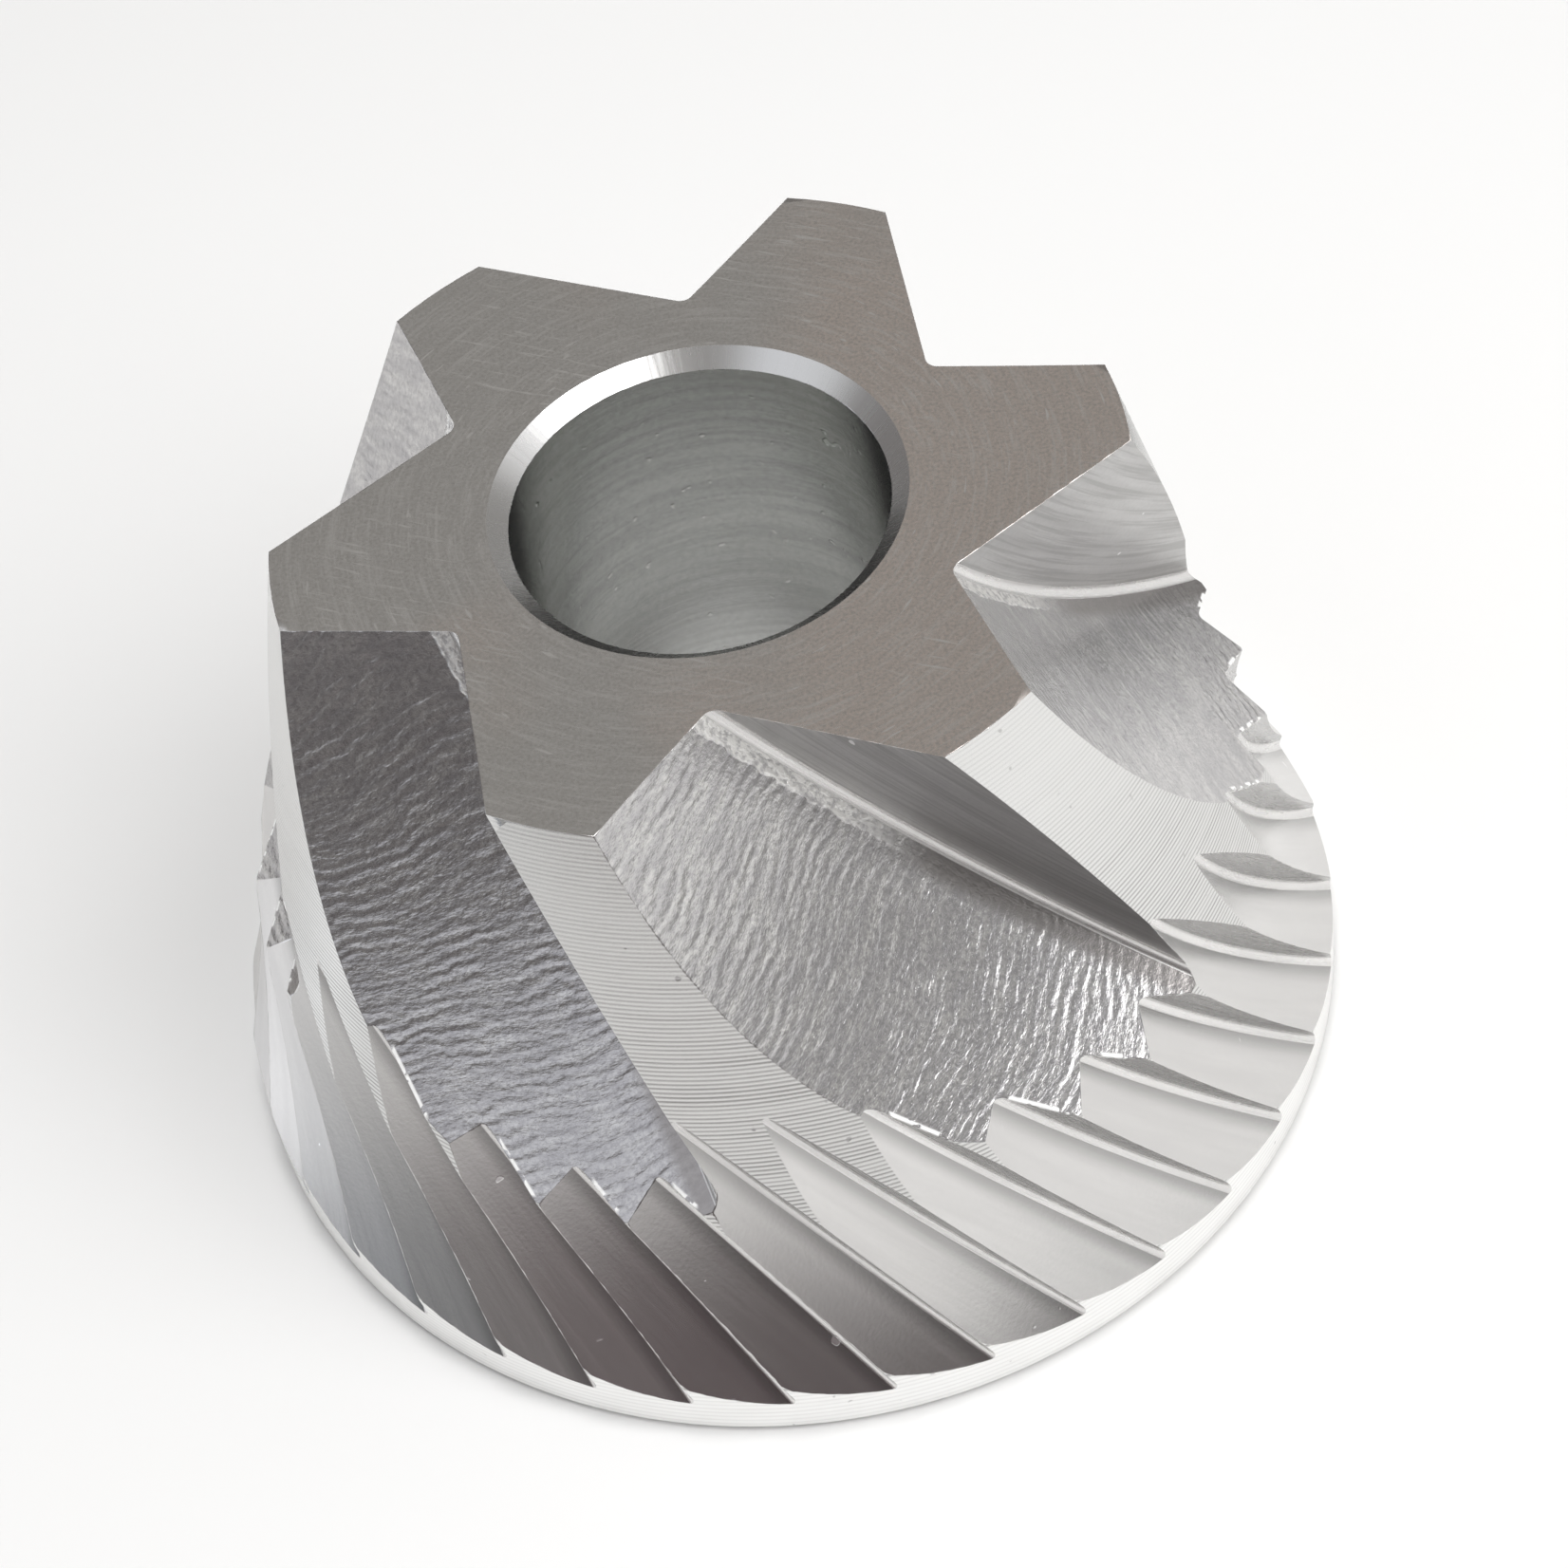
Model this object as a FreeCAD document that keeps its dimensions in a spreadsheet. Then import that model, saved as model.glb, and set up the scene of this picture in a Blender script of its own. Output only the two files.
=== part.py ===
import FreeCAD, Part
import math
import os
import Sketcher

# Cone burr of a coffee grinder
# The inner burr of a conical pair: one piece of steel, origin at the centre of its underside, axis +Z, small end up.
# Six large flutes crush the beans, and thirty-six fine grooves below them do the grinding. Every flute and every
# groove is one pass of a disc wheel with a flat face and a tapered rim. The face leaves the steep cutting wall,
# the rim leaves the broad floor, and the rounded corner between them leaves the root.

NODE = "cone_burr"
SHEET = "Sizes"

# Driving sizes in millimetres and degrees
SIZES = (
    ("overall_height", 24.0, "underside to the ground top"),
    ("base_radius", 19.0, "plain band at the foot"),
    ("band_height", 2.3, "underside to the start of the cone"),
    ("top_radius", 13.45, "cone at the ground top"),
    ("foot_break", 0.2, "broken edge round the underside"),
    ("bore_radius", 6.0, "through bore for the spindle"),
    ("chamfer_width", 0.6, "lead-in at each end of the bore, across"),
    ("chamfer_depth", 0.5, "lead-in at each end of the bore, along"),
    ("wheel_radius", 50.0, "disc wheel that forms flutes and grooves"),
    ("flute_count", 6, "large flutes"),
    ("flute_height", 20.5, "deepest point of a flute above the underside"),
    ("flute_angle", 40.8, "deepest point of the first flute, round the axis"),
    ("flute_depth", 5.3, "deepest point of a flute below the cone"),
    ("flute_lean", 36.6, "path of the wheel across the side of the cone"),
    ("flute_roll", 39.1, "wheel laid over towards the cutting wall"),
    ("flute_taper", 6.25, "rim of the wheel, out of square with its face"),
    ("flute_corner", 0.3, "rounded corner of the wheel"),
    ("groove_count", 36, "fine grooves"),
    ("groove_height", 7.0, "deepest point of a groove above the underside"),
    ("groove_angle", 8.6, "deepest point of the first groove, round the axis"),
    ("groove_depth", 1.17, "deepest point of a groove below the cone"),
    ("groove_lean", 34.8, "path of the wheel across the side of the cone"),
    ("groove_roll", 31.3, "wheel laid over towards the cutting wall"),
    ("groove_taper", 9.4, "rim of the wheel, out of square with its face"),
    ("groove_corner", 0.25, "rounded corner of the wheel"),
)

FULL_TURN = 360.0
RIM_IN_DEPTHS = 3   # the wheel's rim, wide and deep enough to leave the cone before it ends
LEAST_CHIP = 1.0    # cubic millimetres that any cut must take off


def size(name):
    """A driving size, as an expression reads it."""
    return f"{SHEET}.{name}"


def write_sheet(doc):
    """Fills the sheet with the driving sizes, one named cell each."""
    sheet = doc.addObject("Spreadsheet::Sheet", SHEET)
    for row, (name, value, note) in enumerate(SIZES, start=1):
        sheet.set(f"A{row}", name)
        sheet.set(f"B{row}", str(value))
        sheet.set(f"C{row}", note)
        sheet.setAlias(f"B{row}", name)
    doc.recompute()


def origin_part(body, role):
    """One of the body's own origin planes or axes."""
    return next(item for item in body.Origin.OriginFeatures if item.Role == role)


def new_sketch(body, name, role, seat=None):
    """A sketch on one of the body's origin planes, moved to its seat if it has one."""
    sketch = body.newObject("Sketcher::SketchObject", name)
    sketch.AttachmentSupport = [(origin_part(body, role), "")]
    sketch.MapMode = "FlatFace"
    if seat:
        sketch.setExpression("AttachmentOffset", seat)
    return sketch


def reading(sketch, expression):
    """What an expression comes to now."""
    value = sketch.evalExpression(expression)
    return float(getattr(value, "Value", value))


def bind(sketch, kind, name, expression, *where):
    """A named dimension of the sketch, bound to its expression."""
    value = reading(sketch, expression)
    start = math.radians(value) if kind == "Angle" else value
    index = sketch.addConstraint(Sketcher.Constraint(kind, *where, start))
    sketch.renameConstraint(index, name)
    sketch.setExpression(f"Constraints.{name}", expression)


def draw_line(sketch, start, end, construction=False):
    """One straight line between two points of the sketch."""
    sketch.addGeometry(Part.LineSegment(FreeCAD.Vector(*start, 0), FreeCAD.Vector(*end, 0)), construction)


def turned_blank(body):
    """The turned blank: foot, band, cone, ground top and chamfered bore, revolved from half its section."""
    sketch = new_sketch(body, "BlankSection", "XZ_Plane")
    mouth = f"{size('bore_radius')} + {size('chamfer_width')}"
    foot = f"{size('base_radius')} - {size('foot_break')}"
    bore_top = f"{size('overall_height')} - {size('chamfer_depth')}"
    corners = (
        ("mouth_low", mouth, "0"),
        ("foot", foot, "0"),
        ("band_low", size("base_radius"), size("foot_break")),
        ("band_high", size("base_radius"), size("band_height")),
        ("rim", size("top_radius"), size("overall_height")),
        ("mouth_high", mouth, size("overall_height")),
        ("bore_high", size("bore_radius"), bore_top),
        ("bore_low", size("bore_radius"), size("chamfer_depth")),
    )
    points = [(reading(sketch, across), reading(sketch, up)) for _, across, up in corners]
    following = [(index + 1) % len(points) for index in range(len(points))]
    for point, index in zip(points, following):
        draw_line(sketch, point, points[index])
    for index, after in enumerate(following):
        sketch.addConstraint(Sketcher.Constraint("Coincident", index, 2, after, 1))
    for index, (name, across, up) in enumerate(corners):
        bind(sketch, "DistanceX", f"{name}_across", across, -1, 1, index, 1)
        if up == "0":
            sketch.addConstraint(Sketcher.Constraint("PointOnObject", index, 1, -1))
        else:
            bind(sketch, "DistanceY", f"{name}_up", up, -1, 1, index, 1)
    blank = body.newObject("PartDesign::Revolution", "Blank")
    blank.Profile = sketch
    blank.ReferenceAxis = (sketch, ["V_Axis"])
    blank.Angle = FULL_TURN
    return blank


def wheel_seat(cut):
    """Where the wheel stands: its corner at the cut's deepest point, x outward from the burr, y square to its face."""
    slope = f"({size('base_radius')} - {size('top_radius')}) / ({size('overall_height')} - {size('band_height')})"
    height = size(f"{cut}_height")
    cone = f"{size('base_radius')} - ({height} - {size('band_height')}) * {slope}"
    here = "create(<<vector>>; 0; 0; 0)"
    root = f"create(<<vector>>; {cone} - {size(cut + '_depth')}; 0; {height})"
    steps = (
        (here, size(f"{cut}_angle"), "0", "0"),
        (root, "0", f"-atan({slope}) / 1 deg", "0"),
        (here, "0", "0", size(f"{cut}_lean")),
        (here, size(f"{cut}_roll"), "0", "0"),
    )
    return " * ".join(
        f"create(<<placement>>; {move}; create(<<rotation>>; {yaw}; {pitch}; {roll}))" for move, yaw, pitch, roll in steps
    )


def wheel_section(body, cut):
    """The wheel's section: face, hub side, back, tapered rim and rounded corner, with the axle as a guide line."""
    sketch = new_sketch(body, f"{cut.title()}Wheel", "XY_Plane", wheel_seat(cut))
    rim = f"{size(cut + '_depth')} * {RIM_IN_DEPTHS}"
    taper = math.radians(reading(sketch, size(f"{cut}_taper")))
    corner = reading(sketch, size(f"{cut}_corner"))
    axle = reading(sketch, size("wheel_radius"))
    deep = reading(sketch, rim)
    tangent = corner * math.tan((math.pi / 2 - taper) / 2)
    rim_start = (-tangent * math.sin(taper), -tangent * math.cos(taper))
    rim_end = (-deep * math.tan(taper), -deep)
    draw_line(sketch, (tangent, 0), (deep, 0))
    draw_line(sketch, (deep, 0), (deep, -deep))
    draw_line(sketch, (deep, -deep), rim_end)
    draw_line(sketch, rim_end, rim_start)
    circle = Part.Circle(FreeCAD.Vector(tangent, -corner, 0), FreeCAD.Vector(0, 0, 1), corner)
    sketch.addGeometry(Part.ArcOfCircle(circle, math.pi / 2, math.pi - taper), False)
    draw_line(sketch, (axle, 0), (axle, -deep), True)
    face, hub, back, side, nose, centre_line = range(6)
    for words in (
        ("Coincident", face, 2, hub, 1),
        ("Coincident", hub, 2, back, 1),
        ("Coincident", back, 2, side, 1),
        ("Tangent", face, 1, nose, 1),
        ("Tangent", side, 2, nose, 2),
        ("PointOnObject", face, 1, -1),
        ("PointOnObject", face, 2, -1),
        ("PointOnObject", -1, 1, side),
        ("Vertical", hub),
        ("Horizontal", back),
        ("PointOnObject", centre_line, 1, -1),
        ("Vertical", centre_line),
    ):
        sketch.addConstraint(Sketcher.Constraint(*words))
    bind(sketch, "Radius", "corner", size(f"{cut}_corner"), nose)
    bind(sketch, "DistanceX", "rim_deep", rim, -1, 1, face, 2)
    bind(sketch, "DistanceY", "rim_wide", rim, hub, 2, hub, 1)
    bind(sketch, "DistanceX", "axle", size("wheel_radius"), -1, 1, centre_line, 1)
    bind(sketch, "DistanceY", "axle_long", rim, centre_line, 2, centre_line, 1)
    bind(sketch, "Angle", "rim_angle", f"90 deg - {size(cut + '_taper')} * 1 deg", back, 2, side, 1)
    return sketch


def wheel_pass(body, cut):
    """One pass: the arc of the wheel that can reach the burr, taken out of it."""
    sketch = wheel_section(body, cut)
    groove = body.newObject("PartDesign::Groove", f"{cut.title()}Cut")
    groove.Profile = sketch
    groove.ReferenceAxis = (sketch, ["Axis0"])
    groove.Midplane = True
    groove.setExpression("Angle", f"2 * atan({size('overall_height')} / {size('wheel_radius')})")
    return groove


def repeat_round(body, feature, name, count):
    """Repeats a cut evenly round the axis and makes the result the body's last step."""
    pattern = body.newObject("PartDesign::PolarPattern", name)
    pattern.Originals = [feature]
    pattern.Axis = (origin_part(body, "Z_Axis"), [""])
    pattern.Angle = FULL_TURN
    pattern.setExpression("Occurrences", count)
    body.Tip = pattern
    return pattern


def must_remove(before, after):
    """Stops if a step took nothing off."""
    if before.Shape.Volume - after.Shape.Volume < LEAST_CHIP:
        raise RuntimeError(f"{after.Label} removes nothing")


def build_burr(doc):
    """Blank first, then the flutes, then the fine grooves."""
    body = doc.addObject("PartDesign::Body", "ConeBurr")
    body.Label = NODE
    body.Placement = FreeCAD.Placement()
    last = turned_blank(body)
    doc.recompute()
    for cut in ("flute", "groove"):
        one = wheel_pass(body, cut)
        doc.recompute()
        must_remove(last, one)
        last = repeat_round(body, one, f"{cut.title()}s", size(f"{cut}_count"))
        doc.recompute()
        must_remove(one, last)
    return body


def check(doc, body):
    """Stops on any failed object, or on a shape that isn't one valid solid."""
    for item in doc.Objects:
        if {"Invalid", "Error"} & set(item.State):
            raise RuntimeError(f"{item.Label} failed: {item.State}")
    shape = body.Shape
    if shape.isNull() or not shape.isValid() or len(shape.Solids) != 1:
        raise RuntimeError(f"{body.Label} isn't one valid solid")


document = FreeCAD.newDocument("ConeBurr")
write_sheet(document)
burr = build_burr(document)
check(document, burr)
os.makedirs("parts", exist_ok=True)
burr.Shape.exportStep(f"parts/{burr.Label}.step")
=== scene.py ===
"""Looks of a coffee grinder's cone burr: ground, turned and milled steel on a plain pale floor.

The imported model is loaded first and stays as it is. Its burr is copied, and every facet of the copy is
matched to the surface that formed it: the turned blank, or one pass of the flute wheel or of the groove wheel.
Fresh triangles are then laid over those surfaces and take their true normals, so edges stay crisp and curves
reflect cleanly.

Lengths in the classes are millimetres, angles are degrees, and Blender gets metres.
"""

import logging
import math
from dataclasses import dataclass, field
from enum import Enum
from typing import Iterable, Protocol, Sequence, Union

import bmesh
import bpy
import numpy as np
from mathutils import Matrix, Vector
from mathutils.geometry import delaunay_2d_cdt
from mathutils.kdtree import KDTree


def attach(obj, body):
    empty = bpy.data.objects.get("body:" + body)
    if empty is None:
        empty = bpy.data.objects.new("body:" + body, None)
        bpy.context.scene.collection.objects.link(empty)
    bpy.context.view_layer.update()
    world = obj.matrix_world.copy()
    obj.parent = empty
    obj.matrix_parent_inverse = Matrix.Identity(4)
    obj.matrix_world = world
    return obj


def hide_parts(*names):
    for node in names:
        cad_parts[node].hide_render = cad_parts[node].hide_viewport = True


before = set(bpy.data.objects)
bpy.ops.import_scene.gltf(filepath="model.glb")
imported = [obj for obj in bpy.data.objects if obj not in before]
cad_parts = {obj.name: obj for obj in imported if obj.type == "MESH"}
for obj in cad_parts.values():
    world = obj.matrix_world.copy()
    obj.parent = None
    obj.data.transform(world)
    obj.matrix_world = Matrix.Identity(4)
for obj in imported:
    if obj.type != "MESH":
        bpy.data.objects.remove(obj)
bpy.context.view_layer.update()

LOG = logging.getLogger("cone_burr")
NODE = "cone_burr"
BODY = "root"
# The apron is the floor-level part of a painted-reflection sheet: painted shade on the floor that only the
# steel sees.
APRON_HEIGHT = 0.1   # of a screen's apron over the floor, in millimetres
FLOOR_GAP = 0.03     # between the floor and the burr's foot, in millimetres
PASS_APART = 7.3     # between the patterns of neighbouring passes of a wheel
MM = 0.001           # in metres
Colour = tuple[float, float, float]


# Surfaces that the tools left on the burr


class Region(Enum):
    """The burr's surfaces that have a finish of their own."""

    TOP = "ground_top"
    LAND = "turned_land"
    BAND = "turned_band"
    UNDERSIDE = "ground_underside"
    BORE = "bored_hole"
    CHAMFER = "bore_chamfer"
    FLUTE_WALL = "flute_wall"
    FLUTE_FLOOR = "flute_floor"
    FLUTE_ROOT = "flute_root"
    GROOVE_WALL = "groove_wall"
    GROOVE_FLOOR = "groove_floor"
    GROOVE_ROOT = "groove_root"


class WheelPart(Enum):
    """The part of a disc wheel that leaves a surface."""

    FACE = "face"
    RIM = "rim"
    CORNER = "corner"


class Surface(Protocol):
    """A surface of the burr, as a distance outside the steel and a normal out of it."""

    region: Region

    def gap(self, points: np.ndarray) -> np.ndarray:
        """Signed distance of the points, positive outside the steel."""

    def normal(self, points: np.ndarray) -> np.ndarray:
        """Unit normals out of the steel at the points."""

    def holds(self, points: np.ndarray) -> np.ndarray:
        """True for the points that the surface's own extent can reach."""

    def path(self, points: np.ndarray) -> np.ndarray:
        """Distance along the tool's path, distance across it, and the number of the pass."""

    def flat(self, points: np.ndarray) -> np.ndarray:
        """The points on a flat map of the surface that keeps angles."""

    def grid(self, near: np.ndarray, spacing: float) -> np.ndarray:
        """Evenly spaced points of the surface, as far as the given points reach."""


def staggered(low: Sequence[float], high: Sequence[float], step: Sequence[float]) -> np.ndarray:
    """Points of a flat grid whose rows are shifted by half a step in turn.

    Args:
        low: the least of both coordinates.
        high: the most of both coordinates.
        step: the distance between points in a row, and between rows.

    Returns:
        Two coordinates a row.
    """
    rows = np.arange(low[1], high[1] + step[1], step[1])
    columns = np.arange(low[0], high[0] + step[0], step[0])
    across, up = np.meshgrid(columns, rows)
    across[1::2] += step[0] / 2
    return np.stack([across.ravel(), up.ravel()], axis=1)


ROW = math.sqrt(3) / 2   # between the rows of an even triangle grid, in steps


@dataclass(frozen=True)
class Level:
    """A flat surface square to the burr's axis."""

    region: Region
    height: float
    facing: float

    def gap(self, points: np.ndarray) -> np.ndarray:
        """Signed distance of the points, positive outside the steel."""
        return (points[:, 2] - self.height) * self.facing

    def normal(self, points: np.ndarray) -> np.ndarray:
        """Unit normals out of the steel at the points."""
        normals = np.zeros_like(points)
        normals[:, 2] = self.facing
        return normals

    def holds(self, points: np.ndarray) -> np.ndarray:
        """True for every point, because only the level itself limits the surface."""
        return np.ones(len(points), bool)

    def path(self, points: np.ndarray) -> np.ndarray:
        """Distance round the axis, radius, and no pass number."""
        radius = np.hypot(points[:, 0], points[:, 1])
        turn = np.arctan2(points[:, 1], points[:, 0])
        return np.stack([turn * radius, radius, np.zeros(len(points))], axis=1)

    def flat(self, points: np.ndarray) -> np.ndarray:
        """The points seen along the axis."""
        return points[:, :2] * (1, self.facing)

    def grid(self, near: np.ndarray, spacing: float) -> np.ndarray:
        """Evenly spaced points of the surface, as far as the given points reach."""
        spots = staggered(near.min(axis=0), near.max(axis=0), (spacing, spacing * ROW))
        return np.column_stack([spots, np.full(len(spots), self.height)])


@dataclass(frozen=True)
class Turned:
    """A surface turned about the burr's axis, whose radius changes evenly with height."""

    region: Region
    radius: float
    low: float
    high: float
    slope: float = 0.0
    facing: float = 1.0

    def gap(self, points: np.ndarray) -> np.ndarray:
        """Signed distance of the points, positive outside the steel."""
        radius = np.hypot(points[:, 0], points[:, 1])
        off = radius - self.radius + self.slope * (points[:, 2] - self.low)
        return off * self.facing / math.hypot(1, self.slope)

    def normal(self, points: np.ndarray) -> np.ndarray:
        """Unit normals out of the steel at the points."""
        radius = np.hypot(points[:, 0], points[:, 1])
        level = 1 / math.hypot(1, self.slope)
        normals = np.empty_like(points)
        normals[:, :2] = points[:, :2] / radius[:, None] * level
        normals[:, 2] = self.slope * level
        return normals * self.facing

    def holds(self, points: np.ndarray) -> np.ndarray:
        """True for the points between the surface's two heights."""
        near = 0.01
        return (points[:, 2] > self.low - near) & (points[:, 2] < self.high + near)

    def path(self, points: np.ndarray) -> np.ndarray:
        """Distance round the axis, height, and no pass number."""
        turn = np.arctan2(points[:, 1], points[:, 0])
        return np.stack([turn * self.radius, points[:, 2], np.zeros(len(points))], axis=1)

    def flat(self, points: np.ndarray) -> np.ndarray:
        """The surface opened out round the axis, so that its lower edge lies innermost."""
        turn = np.arctan2(points[:, 1], points[:, 0])
        up = points[:, 2] - self.low
        if self.slope:
            out = -math.hypot(1, self.slope) / self.slope * np.log(1 - self.slope * up / self.radius)
        else:
            out = up / self.radius
        spread = self.radius * np.exp(out)
        return np.stack([spread * np.cos(turn), -self.facing * spread * np.sin(turn)], axis=1)

    def grid(self, near: np.ndarray, spacing: float) -> np.ndarray:
        """Evenly spaced points of the surface, as far as the given points reach."""
        step = math.tau / max(8, round(math.tau * self.radius / spacing))
        rise = spacing * ROW / math.hypot(1, self.slope)
        low, high = near[:, 2].min(), near[:, 2].max()
        turn, up = staggered((0, low), (math.tau - step * 1.5, high), (step, rise)).T
        radius = self.radius - self.slope * (up - self.low)
        return np.stack([radius * np.cos(turn), radius * np.sin(turn), up], axis=1)


@dataclass(frozen=True)
class Blank:
    """The turned blank: band at the foot, cone, ground top and chamfered bore."""

    overall_height: float = 24.0
    base_radius: float = 19.0
    band_height: float = 2.3
    top_radius: float = 13.45
    foot_break: float = 0.2
    bore_radius: float = 6.0
    chamfer_width: float = 0.6
    chamfer_depth: float = 0.5

    @property
    def slope(self) -> float:
        """Radius that the cone loses for each millimetre of height."""
        return (self.base_radius - self.top_radius) / (self.overall_height - self.band_height)

    def cone_at(self, height: float) -> float:
        """Radius of the cone at a height."""
        return self.base_radius - (height - self.band_height) * self.slope

    def surfaces(self) -> list[Surface]:
        """All surfaces that turning, boring and grinding left."""
        lead = self.chamfer_width / self.chamfer_depth
        bore_top = self.overall_height - self.chamfer_depth
        mouth = self.bore_radius + self.chamfer_width
        return [
            Level(Region.TOP, self.overall_height, 1.0),
            Level(Region.UNDERSIDE, 0.0, -1.0),
            Turned(Region.BAND, self.base_radius - self.foot_break, 0.0, self.foot_break, -1.0),
            Turned(Region.BAND, self.base_radius, self.foot_break, self.band_height),
            Turned(Region.LAND, self.base_radius, self.band_height, self.overall_height, self.slope),
            Turned(Region.CHAMFER, mouth, 0.0, self.chamfer_depth, lead, -1.0),
            Turned(Region.BORE, self.bore_radius, self.chamfer_depth, bore_top, 0.0, -1.0),
            Turned(Region.CHAMFER, self.bore_radius, bore_top, self.overall_height, -lead, -1.0),
        ]


def turn_about(axis: str, angle: float) -> np.ndarray:
    """Rotation matrix for an angle about one axis.

    Args:
        axis: X, Y or Z.
        angle: the angle in radians.

    Returns:
        The 3 by 3 matrix.
    """
    return np.array(Matrix.Rotation(angle, 3, axis))


@dataclass(frozen=True)
class Wheel:
    """A disc wheel with a flat face, a tapered rim and a rounded corner, and its passes round the burr."""

    count: int
    height: float
    angle: float
    depth: float
    lean: float
    roll: float
    taper: float
    corner: float
    wall: Region
    floor: Region
    root: Region
    radius: float = 50.0

    def seat(self, blank: Blank, index: int) -> tuple[np.ndarray, np.ndarray]:
        """Where the wheel stands for one pass.

        Args:
            blank: the blank that is cut.
            index: the number of the pass.

        Returns:
            The corner's deepest point, and the axes as columns: outward from the burr, square to the wheel's
            face, and along the path.
        """
        around = math.radians(self.angle + index * 360 / self.count)
        radius = blank.cone_at(self.height) - self.depth
        point = np.array([radius * math.cos(around), radius * math.sin(around), self.height])
        axes = (
            turn_about("Z", around)
            @ turn_about("Y", -math.atan(blank.slope))
            @ turn_about("X", math.radians(self.lean))
            @ turn_about("Z", math.radians(self.roll))
        )
        return point, axes

    def surfaces(self, blank: Blank) -> list[Surface]:
        """The wall, floor and root of every pass."""
        parts = ((WheelPart.FACE, self.wall), (WheelPart.RIM, self.floor), (WheelPart.CORNER, self.root))
        marks: list[Surface] = []
        for index in range(self.count):
            point, axes = self.seat(blank, index)
            marks += [WheelMark(region, self, index, part, point, axes) for part, region in parts]
        return marks


@dataclass(frozen=True)
class WheelMark:
    """What one part of the wheel leaves in one pass."""

    region: Region
    wheel: Wheel
    index: int
    part: WheelPart
    point: np.ndarray
    axes: np.ndarray

    def _local(self, points: np.ndarray) -> tuple[np.ndarray, np.ndarray, np.ndarray, np.ndarray]:
        """The points seen from the wheel: outward, square to the face, along, and from the wheel's axis."""
        outward, square, along = ((points - self.point) @ self.axes).T
        return outward, square, along, np.hypot(self.wheel.radius - outward, along)

    @property
    def _tangent(self) -> float:
        """Distance from the corner's sharp point to where its rounding starts on the face."""
        return self.wheel.corner * math.tan((math.pi / 2 - math.radians(self.wheel.taper)) / 2)

    def gap(self, points: np.ndarray) -> np.ndarray:
        """Signed distance of the points, positive outside the steel."""
        _, square, _, reach = self._local(points)
        taper = math.radians(self.wheel.taper)
        if self.part is WheelPart.FACE:
            return -square
        if self.part is WheelPart.RIM:
            return (self.wheel.radius - reach) * math.cos(taper) - square * math.sin(taper)
        tube = np.hypot(reach - self.wheel.radius + self._tangent, square + self.wheel.corner)
        return self.wheel.corner - tube

    def normal(self, points: np.ndarray) -> np.ndarray:
        """Unit normals out of the steel at the points."""
        outward, square, along, reach = self._local(points)
        taper = math.radians(self.wheel.taper)
        inwards = np.stack([self.wheel.radius - outward, np.zeros_like(along), -along], axis=1)
        inwards /= reach[:, None]
        if self.part is WheelPart.FACE:
            local = np.tile([0.0, -1.0, 0.0], (len(points), 1))
        elif self.part is WheelPart.RIM:
            local = inwards * math.cos(taper)
            local[:, 1] = -math.sin(taper)
        else:
            side = reach - self.wheel.radius + self._tangent
            over = square + self.wheel.corner
            tube = np.maximum(np.hypot(side, over), 1e-6)
            local = inwards * (side / tube)[:, None]
            local[:, 1] = -over / tube
        return local @ self.axes.T

    def holds(self, points: np.ndarray) -> np.ndarray:
        """True for the points within the part's own width on the wheel."""
        _, square, _, reach = self._local(points)
        near = 0.02
        edge = self._tangent
        if self.part is WheelPart.FACE:
            return reach < self.wheel.radius - edge + near
        if self.part is WheelPart.RIM:
            return square < near - edge * math.cos(math.radians(self.wheel.taper))
        return (reach > self.wheel.radius - edge - near) & (square > -edge - near)

    def path(self, points: np.ndarray) -> np.ndarray:
        """Distance along the pass, distance from the wheel's sharp corner, and the number of the pass."""
        outward, square, along, reach = self._local(points)
        run = self.wheel.radius * np.arctan2(along, self.wheel.radius - outward)
        across = self.wheel.radius - reach if self.part is WheelPart.FACE else -square
        return np.stack([run, across, np.full(len(points), float(self.index))], axis=1)

    def flat(self, points: np.ndarray) -> np.ndarray:
        """The face as it is, or the rim or corner rolled out along the path."""
        outward, square, along, reach = self._local(points)
        if self.part is WheelPart.FACE:
            return np.stack([outward, along], axis=1)
        run = self.wheel.radius * np.arctan2(along, self.wheel.radius - outward)
        if self.part is WheelPart.RIM:
            return np.stack([square, run], axis=1)
        bend = np.arctan2(square + self.wheel.corner, reach - self.wheel.radius + self._tangent)
        return np.stack([self.wheel.corner * bend, run], axis=1)

    def grid(self, near: np.ndarray, spacing: float) -> np.ndarray:
        """Evenly spaced points of the surface, as far as the given points reach."""
        known = self.flat(near)
        across, run = staggered(known.min(axis=0), known.max(axis=0), (spacing, spacing * ROW)).T
        if self.part is WheelPart.FACE:
            local = np.stack([across, np.zeros_like(across), run], axis=1)
            return local @ self.axes.T + self.point
        if self.part is WheelPart.RIM:
            square, reach = across, self.wheel.radius - across * math.tan(math.radians(self.wheel.taper))
        else:
            bend = across / self.wheel.corner
            square = self.wheel.corner * (np.sin(bend) - 1)
            reach = self.wheel.radius - self._tangent + self.wheel.corner * np.cos(bend)
        turn = run / self.wheel.radius
        local = np.stack([self.wheel.radius - reach * np.cos(turn), square, reach * np.sin(turn)], axis=1)
        return local @ self.axes.T + self.point


# The burr's mesh

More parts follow.
